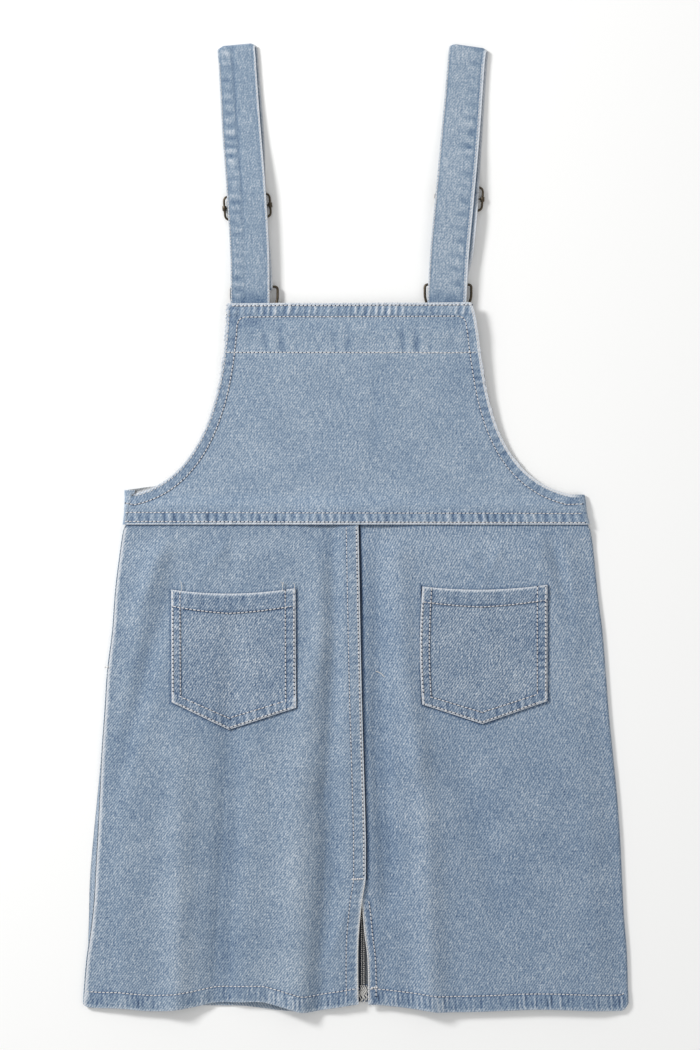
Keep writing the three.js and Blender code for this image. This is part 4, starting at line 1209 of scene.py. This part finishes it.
for side in ("left", "right"):
    strap = STRAPS[side]
    slide_x, slide_y, turn = strap["slide"]
    bm = bmesh.new()
    w, t = SLIDE["half_wide"], SLIDE["half_tall"]
    loop = rounded([(-w, t, 5), (w, t, 5), (w, -t, 5), (-w, -t, 5)])
    tube(bm, [(*p, SLIDE["level"]) for p in loop], SLIDE["wire"], closed=True)
    rod(bm, (0, 0), SLIDE["bar"], 2 * w, "X", SLIDE["level"])
    for end in (-1, 1):
        rod(bm, (end * w, 0), SLIDE["knob"], SLIDE["knob_long"], "Y", SLIDE["level"])
    bmesh.ops.rotate(bm, verts=bm.verts, cent=(0, 0, 0), matrix=Matrix.Rotation(turn, 3, "Z"))
    bmesh.ops.translate(bm, verts=bm.verts, vec=(slide_x * MM, slide_y * MM, 0))
    hardware_piece(f"slide_{side}", bm)

    buckle_x, buckle_top = strap["buckle"]
    top = buckle_top - BUCKLE["wire"] / 2
    half = [(BUCKLE["half_wide"], top, 3), (BUCKLE["half_wide"], top - BUCKLE["side"], 8),
            (BUCKLE["slot"], BUTTON["y"] + BUCKLE["neck"], 8),
            (BUCKLE["slot"], BUTTON["y"] - BUCKLE["slot"], 3.9)]
    loop = rounded(half + [(-x, y, r) for x, y, r in reversed(half)])
    bm = bmesh.new()
    tube(bm, [(buckle_x + p.x, p.y, BUCKLE["level"]) for p in loop], BUCKLE["wire"], closed=True)
    hardware_piece(f"buckle_{side}", bm)

    r, rise = BUTTON["size"] / 2, BUTTON["head"]
    profile = [(0, 0), (r - 1.1, 0), (r - 0.3, 0.35), (r, 0.9), (r - 0.3, rise - 0.3), (r - 1.2, rise),
               (BUTTON["neck"], rise), (BUTTON["neck"], BUTTON["neck_top"]), (0, BUTTON["neck_top"])]
    bm = bmesh.new()
    ring = [bm.verts.new((px * MM, 0, pz * MM)) for px, pz in profile]
    edges = [bm.edges.new(pair) for pair in zip(ring, ring[1:])]
    bmesh.ops.spin(bm, geom=ring + edges, cent=(0, 0, 0), axis=(0, 0, 1), angle=2 * math.pi, steps=28,
                   use_merge=True)
    bmesh.ops.remove_doubles(bm, verts=bm.verts, dist=1e-6)
    bmesh.ops.recalc_face_normals(bm, faces=bm.faces)
    bmesh.ops.translate(bm, verts=bm.verts, vec=(buckle_x * MM, BUTTON["y"] * MM, 0))
    hardware_piece(f"button_{side}", bm)


# Sewing lines

TOP_ROWS = (2.4, 12.3)  # below the bib's top edge
WAIST_ROWS = (4.9, 13.0)  # above the middle of the waist seam
ARM_ROWS = (2.0, 9.6)  # in from an armhole edge
POCKET_ROWS = (1.5, POCKET_BAND)
SLIT_ROW = 7.2  # in from the slit's right edge
OVERLOCK_ROWS = (5.9, 8.0)  # on the front's seam turns, seen inside the slit


def bib_z(x, y):
    return bib_height(x, y)[0]


def skirt_z(side):
    return lambda x, y: skirt_height(side, x, y)[0]


def pocket_z(side):
    return lambda x, y: pocket_height(side, x, y)


def armline(side, off):
    seam = ARM_SEAMS[side]
    pts = []
    for p, way in zip(seam.points[6:-2:4], seam.ways[6:-2:4]):
        inward = Vector((-way.y, way.x)) * (1 if side < 0 else -1)
        pts.append((p + inward * off))
    return [p for p in pts if p.y < top_edge(p.x) - off]


def across(x0, x1, y_of, step=4.0):
    count = max(2, int(abs(x1 - x0) / step))
    return [(mix(x0, x1, k / count), y_of(mix(x0, x1, k / count))) for k in range(count + 1)]


bib_runs = [
    dict(points=across(-111, 103.5, lambda x: top_edge(x) - TOP_ROWS[0]), height=bib_z, seed=1),
    dict(points=across(-98, 90.5, lambda x: top_edge(x) - TOP_ROWS[1]), height=bib_z, seed=2),
    dict(points=across(-115.4, 109, lambda x: FACING_Y + 0.5 * noise.noise((x / 30, 1, 1))),
         height=bib_z, seed=3),
    dict(points=across(-206.6, 205.5, lambda x: WAIST_ROWS[1] - 0.4 * x / 200), height=bib_z, seed=4),
    dict(points=across(-207.2, 206.5, lambda x: WAIST_ROWS[0] - 0.5 * x / 200), height=bib_z, seed=5),
]
for side, turn_x, tail in ((-1, -98.0, (-206.4, 22.0)), (1, 90.5, (206.0, 21.2))):
    bib_runs.append(dict(points=armline(side, ARM_ROWS[0]), height=bib_z, seed=6 + side, thick=0.7,
                         hole_shades=False))
    inner = [q for q in armline(side, ARM_ROWS[1]) if q.y < top_edge(q.x) - 19]
    end = Vector((turn_x, top_edge(turn_x) - TOP_ROWS[1]))
    knee = Vector((inner[0].x - side * 0.9, end.y))
    curve = [inner[0].lerp(knee, k / 8).lerp(knee.lerp(end, k / 8), k / 8) for k in range(9)]
    bib_runs.append(dict(points=curve[::-1] + inner[1:] + [Vector(tail)], height=bib_z, seed=8 + side))
thread_piece("bib_topstitching", bib_runs, TOPSTITCH)

left_z, right_z = skirt_z(-1), skirt_z(1)


def down(y0, y1, x_of, step=5.0):
    return [(x, y) for y, x in across(y0, y1, x_of, step)]


skirt_runs = [
    dict(points=down(1, -420, lambda y: CENTRE.at(y, "upper") - SEAM_FELL), height=left_z, seed=11,
         thick=0.8),
    dict(points=down(1, -312, lambda y: CENTRE.at(y, "upper") - 2.0), height=left_z, seed=12),
    dict(points=down(-335, -420, lambda y: CENTRE.at(y, "lower") + SLIT_ROW), height=right_z, seed=13),
    dict(points=across(-242, 2.5, lambda x: HEM.at(x, "back") + HEM_TURN), height=left_z, seed=14),
    dict(points=across(13, 243, lambda x: HEM.at(x, "back") + HEM_TURN), height=right_z, seed=15),
]
TACK = dict(pitch=2.1, long=2.0, thick=1.7, lift_by=0.3, hole_shades=False)
skirt_runs += [
    dict(points=[(-2.9, -315.6), (6.6, -315.2)], height=left_z, seed=16, **TACK),
    dict(points=[(14.4, -413.3), (20.4, -412.9)], height=right_z, seed=17, **TACK),
    dict(points=[(-225.6, -125.6), (-221.4, -125.3)], height=left_z, seed=18, **TACK),
]
thread_piece("skirt_topstitching", skirt_runs, TOPSTITCH)

OVERLOCK = dict(pitch=1.9, long=1.7, thick=1.1, hole_shades=False)


def inside_z(x, y):
    return CLOTH + 1.1  # just over the front's wrong side, seen in the slit


thread_piece("slit_overlock", [
    dict(points=down(-318, -424, lambda y: CENTRE.at(y, "upper") - 0.7), height=left_z, seed=19,
         **OVERLOCK),
    dict(points=down(-332, -424, lambda y: CENTRE.at(y, "lower") + 0.8), height=right_z, seed=20,
         **OVERLOCK),
    dict(points=down(-346, -412, lambda y: OVERLOCK_ROWS[0]), height=inside_z, seed=21, **OVERLOCK),
    dict(points=down(-352, -412, lambda y: OVERLOCK_ROWS[1]), height=inside_z, seed=22, **OVERLOCK),
], SERGING)

for side in ("left", "right"):
    p = POCKETS[side]
    runs = []
    for inset, seed in zip(POCKET_ROWS, (1, 2)):
        outline = []
        wide, tall = p["x1"] - p["x0"], p["top0"] - p["tipy"]
        du, dv = inset / wide, inset / tall
        head, foot = dv if inset < 5 else 0.0, 1 - dv * 1.25
        turns = [(du, head), (du, foot), (0.5, foot), (1 - du, foot), (1 - du, head)]
        for (u0, v0), (u1, v1) in zip(turns, turns[1:]):
            for k in range(1 if outline else 0, 25):
                outline.append(pocket_plan(side, mix(u0, u1, k / 24), mix(v0, v1, k / 24))[:2])
        runs.append(dict(points=outline, height=pocket_z(side), seed=20 + seed))
    hem_v = POCKET_HEM[side] / (p["top0"] - p["tipy"]) * 1.1
    runs.append(dict(points=[pocket_plan(side, u / 24 * 0.97 + 0.015, hem_v)[:2] for u in range(25)],
                     height=pocket_z(side), seed=25))
    thread_piece(f"pocket_{side}_topstitching", runs, TOPSTITCH)

STRAP_ROWS = {"left": (-0.95, 0.93), "right": (-0.94, 0.86)}  # stitch rows by the turned edges
for side in ("left", "right"):
    path, strap = strap_paths[side], STRAPS[side]
    back = [k for k in range(len(path)) if path[k][3] == "back" and path[k][1] > 200]
    heights = Table("y z", [(path[k][1], path[k][2] + STRAP_THICK / 2 + 0.12) for k in back])
    runs = []
    for w in STRAP_ROWS[side]:
        pts = [tuple(strap_section(strap, path, k, w)[0][:2]) for k in back]
        runs.append(dict(points=pts, height=lambda x, y, t=heights: t.at(y, "z"), seed=30 + w, long=1.9,
                         pitch=2.8, thick=0.6, lift_by=-0.05, hole_shades=False))
    thread_piece(f"strap_{side}_topstitching", runs, TOPSTITCH)


def strand(bm, start, end, height, sway, seed, turns=1.0, thick=0.5, rise=0.35):
    """A loose end of thread lying on the cloth, swaying to both sides of its line."""
    a, b = Vector(start), Vector(end)
    across = Vector((-(b - a).y, (b - a).x)).normalized()
    path = []
    for k in range(13):
        t = k / 12
        swing = sway * math.sin(math.pi * turns * t) * (1 + 0.5 * noise.noise((t * 4, seed, 1)))
        spot = a.lerp(b, t) + across * swing
        path.append((spot.x, spot.y, height(*spot) + rise))
    tube(bm, path, thick, sides=1)


ends_bm = bmesh.new()


def pocket_top(x, y):
    return left_z(x, y) + CLOTH + 0.6


POCKET_TAILS = ((-155.8, -57.0, -48.6, -0.5), (-64.6, -57.0, -48.8, 0.7),
                (-54.6, -55.0, -49.6, -0.6), (-65.4, -52.0, -49.0, -0.9))
for x, y0, y1, sway in POCKET_TAILS:  # four thread ends at the left pocket's top
    strand(ends_bm, (x, y0), (x + sway, y1), pocket_top, sway, x)
strand(ends_bm, (18.6, -129.2), (26.0, -134.0), right_z, 0.9, 3.0, thick=0.8)
for k in range(11):  # frayed overlock at the foot of the slit
    x = 4.4 + 0.62 * k
    strand(ends_bm, (x, -411.5 - 1.2 * (k % 3)), (x + 1.6 * math.sin(k * 2.1), -426.5 + 1.5 * (k % 2)),
           inside_z, 1.2, 5.0 + k, turns=3.0, thick=0.8, rise=1.0 + 0.4 * (k % 3))
for face in ends_bm.faces:
    face.smooth = True
loose_ends = finish_piece("thread_ends", ends_bm, [SERGING], wall=None)


# Floor, light and camera

FLOOR_DROP = 0.0003  # metres, so that the cloth's underside isn't in the floor
SKY = 0.55  # strength of the even light all round

floor_bm = bmesh.new()
bmesh.ops.create_grid(floor_bm, x_segments=1, y_segments=1, size=4.0)
floor_mesh = bpy.data.meshes.new("floor")
floor_bm.to_mesh(floor_mesh)
floor_bm.free()
floor = bpy.data.objects.new("floor", floor_mesh)
floor.location.z = -FLOOR_DROP
floor_mesh.materials.append(plain("pale paper floor", "#fafaf9", 0.9))
bpy.context.scene.collection.objects.link(floor)

world = bpy.data.worlds.new("studio")
bpy.context.scene.world = world
world.use_nodes = True
world.node_tree.nodes["Background"].inputs["Color"].default_value = (1, 1, 1, 1)
world.node_tree.nodes["Background"].inputs["Strength"].default_value = SKY


def softbox(name, place, target, size, power):
    light = bpy.data.lights.new(name, "AREA")
    light.shape, light.size, light.energy = "SQUARE", size, power
    lamp = bpy.data.objects.new(name, light)
    lamp.location = place
    lamp.rotation_euler = (Vector(target) - Vector(place)).to_track_quat("-Z", "Y").to_euler()
    bpy.context.scene.collection.objects.link(lamp)


softbox("key softbox", place=(-1.9, 1.3, 1.5), target=(0, 0, 0), size=0.6, power=62)
softbox("fill softbox", place=(1.6, -0.9, 2.2), target=(0, 0, 0), size=1.6, power=6)

CAMERA_PLACE = (-0.0045, 0.00225, 2.625)  # straight above the middle of the photo
LENS, SENSOR = 100, 36
camera_data = bpy.data.cameras.new("camera")
camera_data.lens, camera_data.sensor_width = LENS, SENSOR
camera = bpy.data.objects.new("camera", camera_data)
camera.location = CAMERA_PLACE
bpy.context.scene.collection.objects.link(camera)
bpy.context.scene.camera = camera
bpy.context.scene.view_settings.view_transform = "Standard"
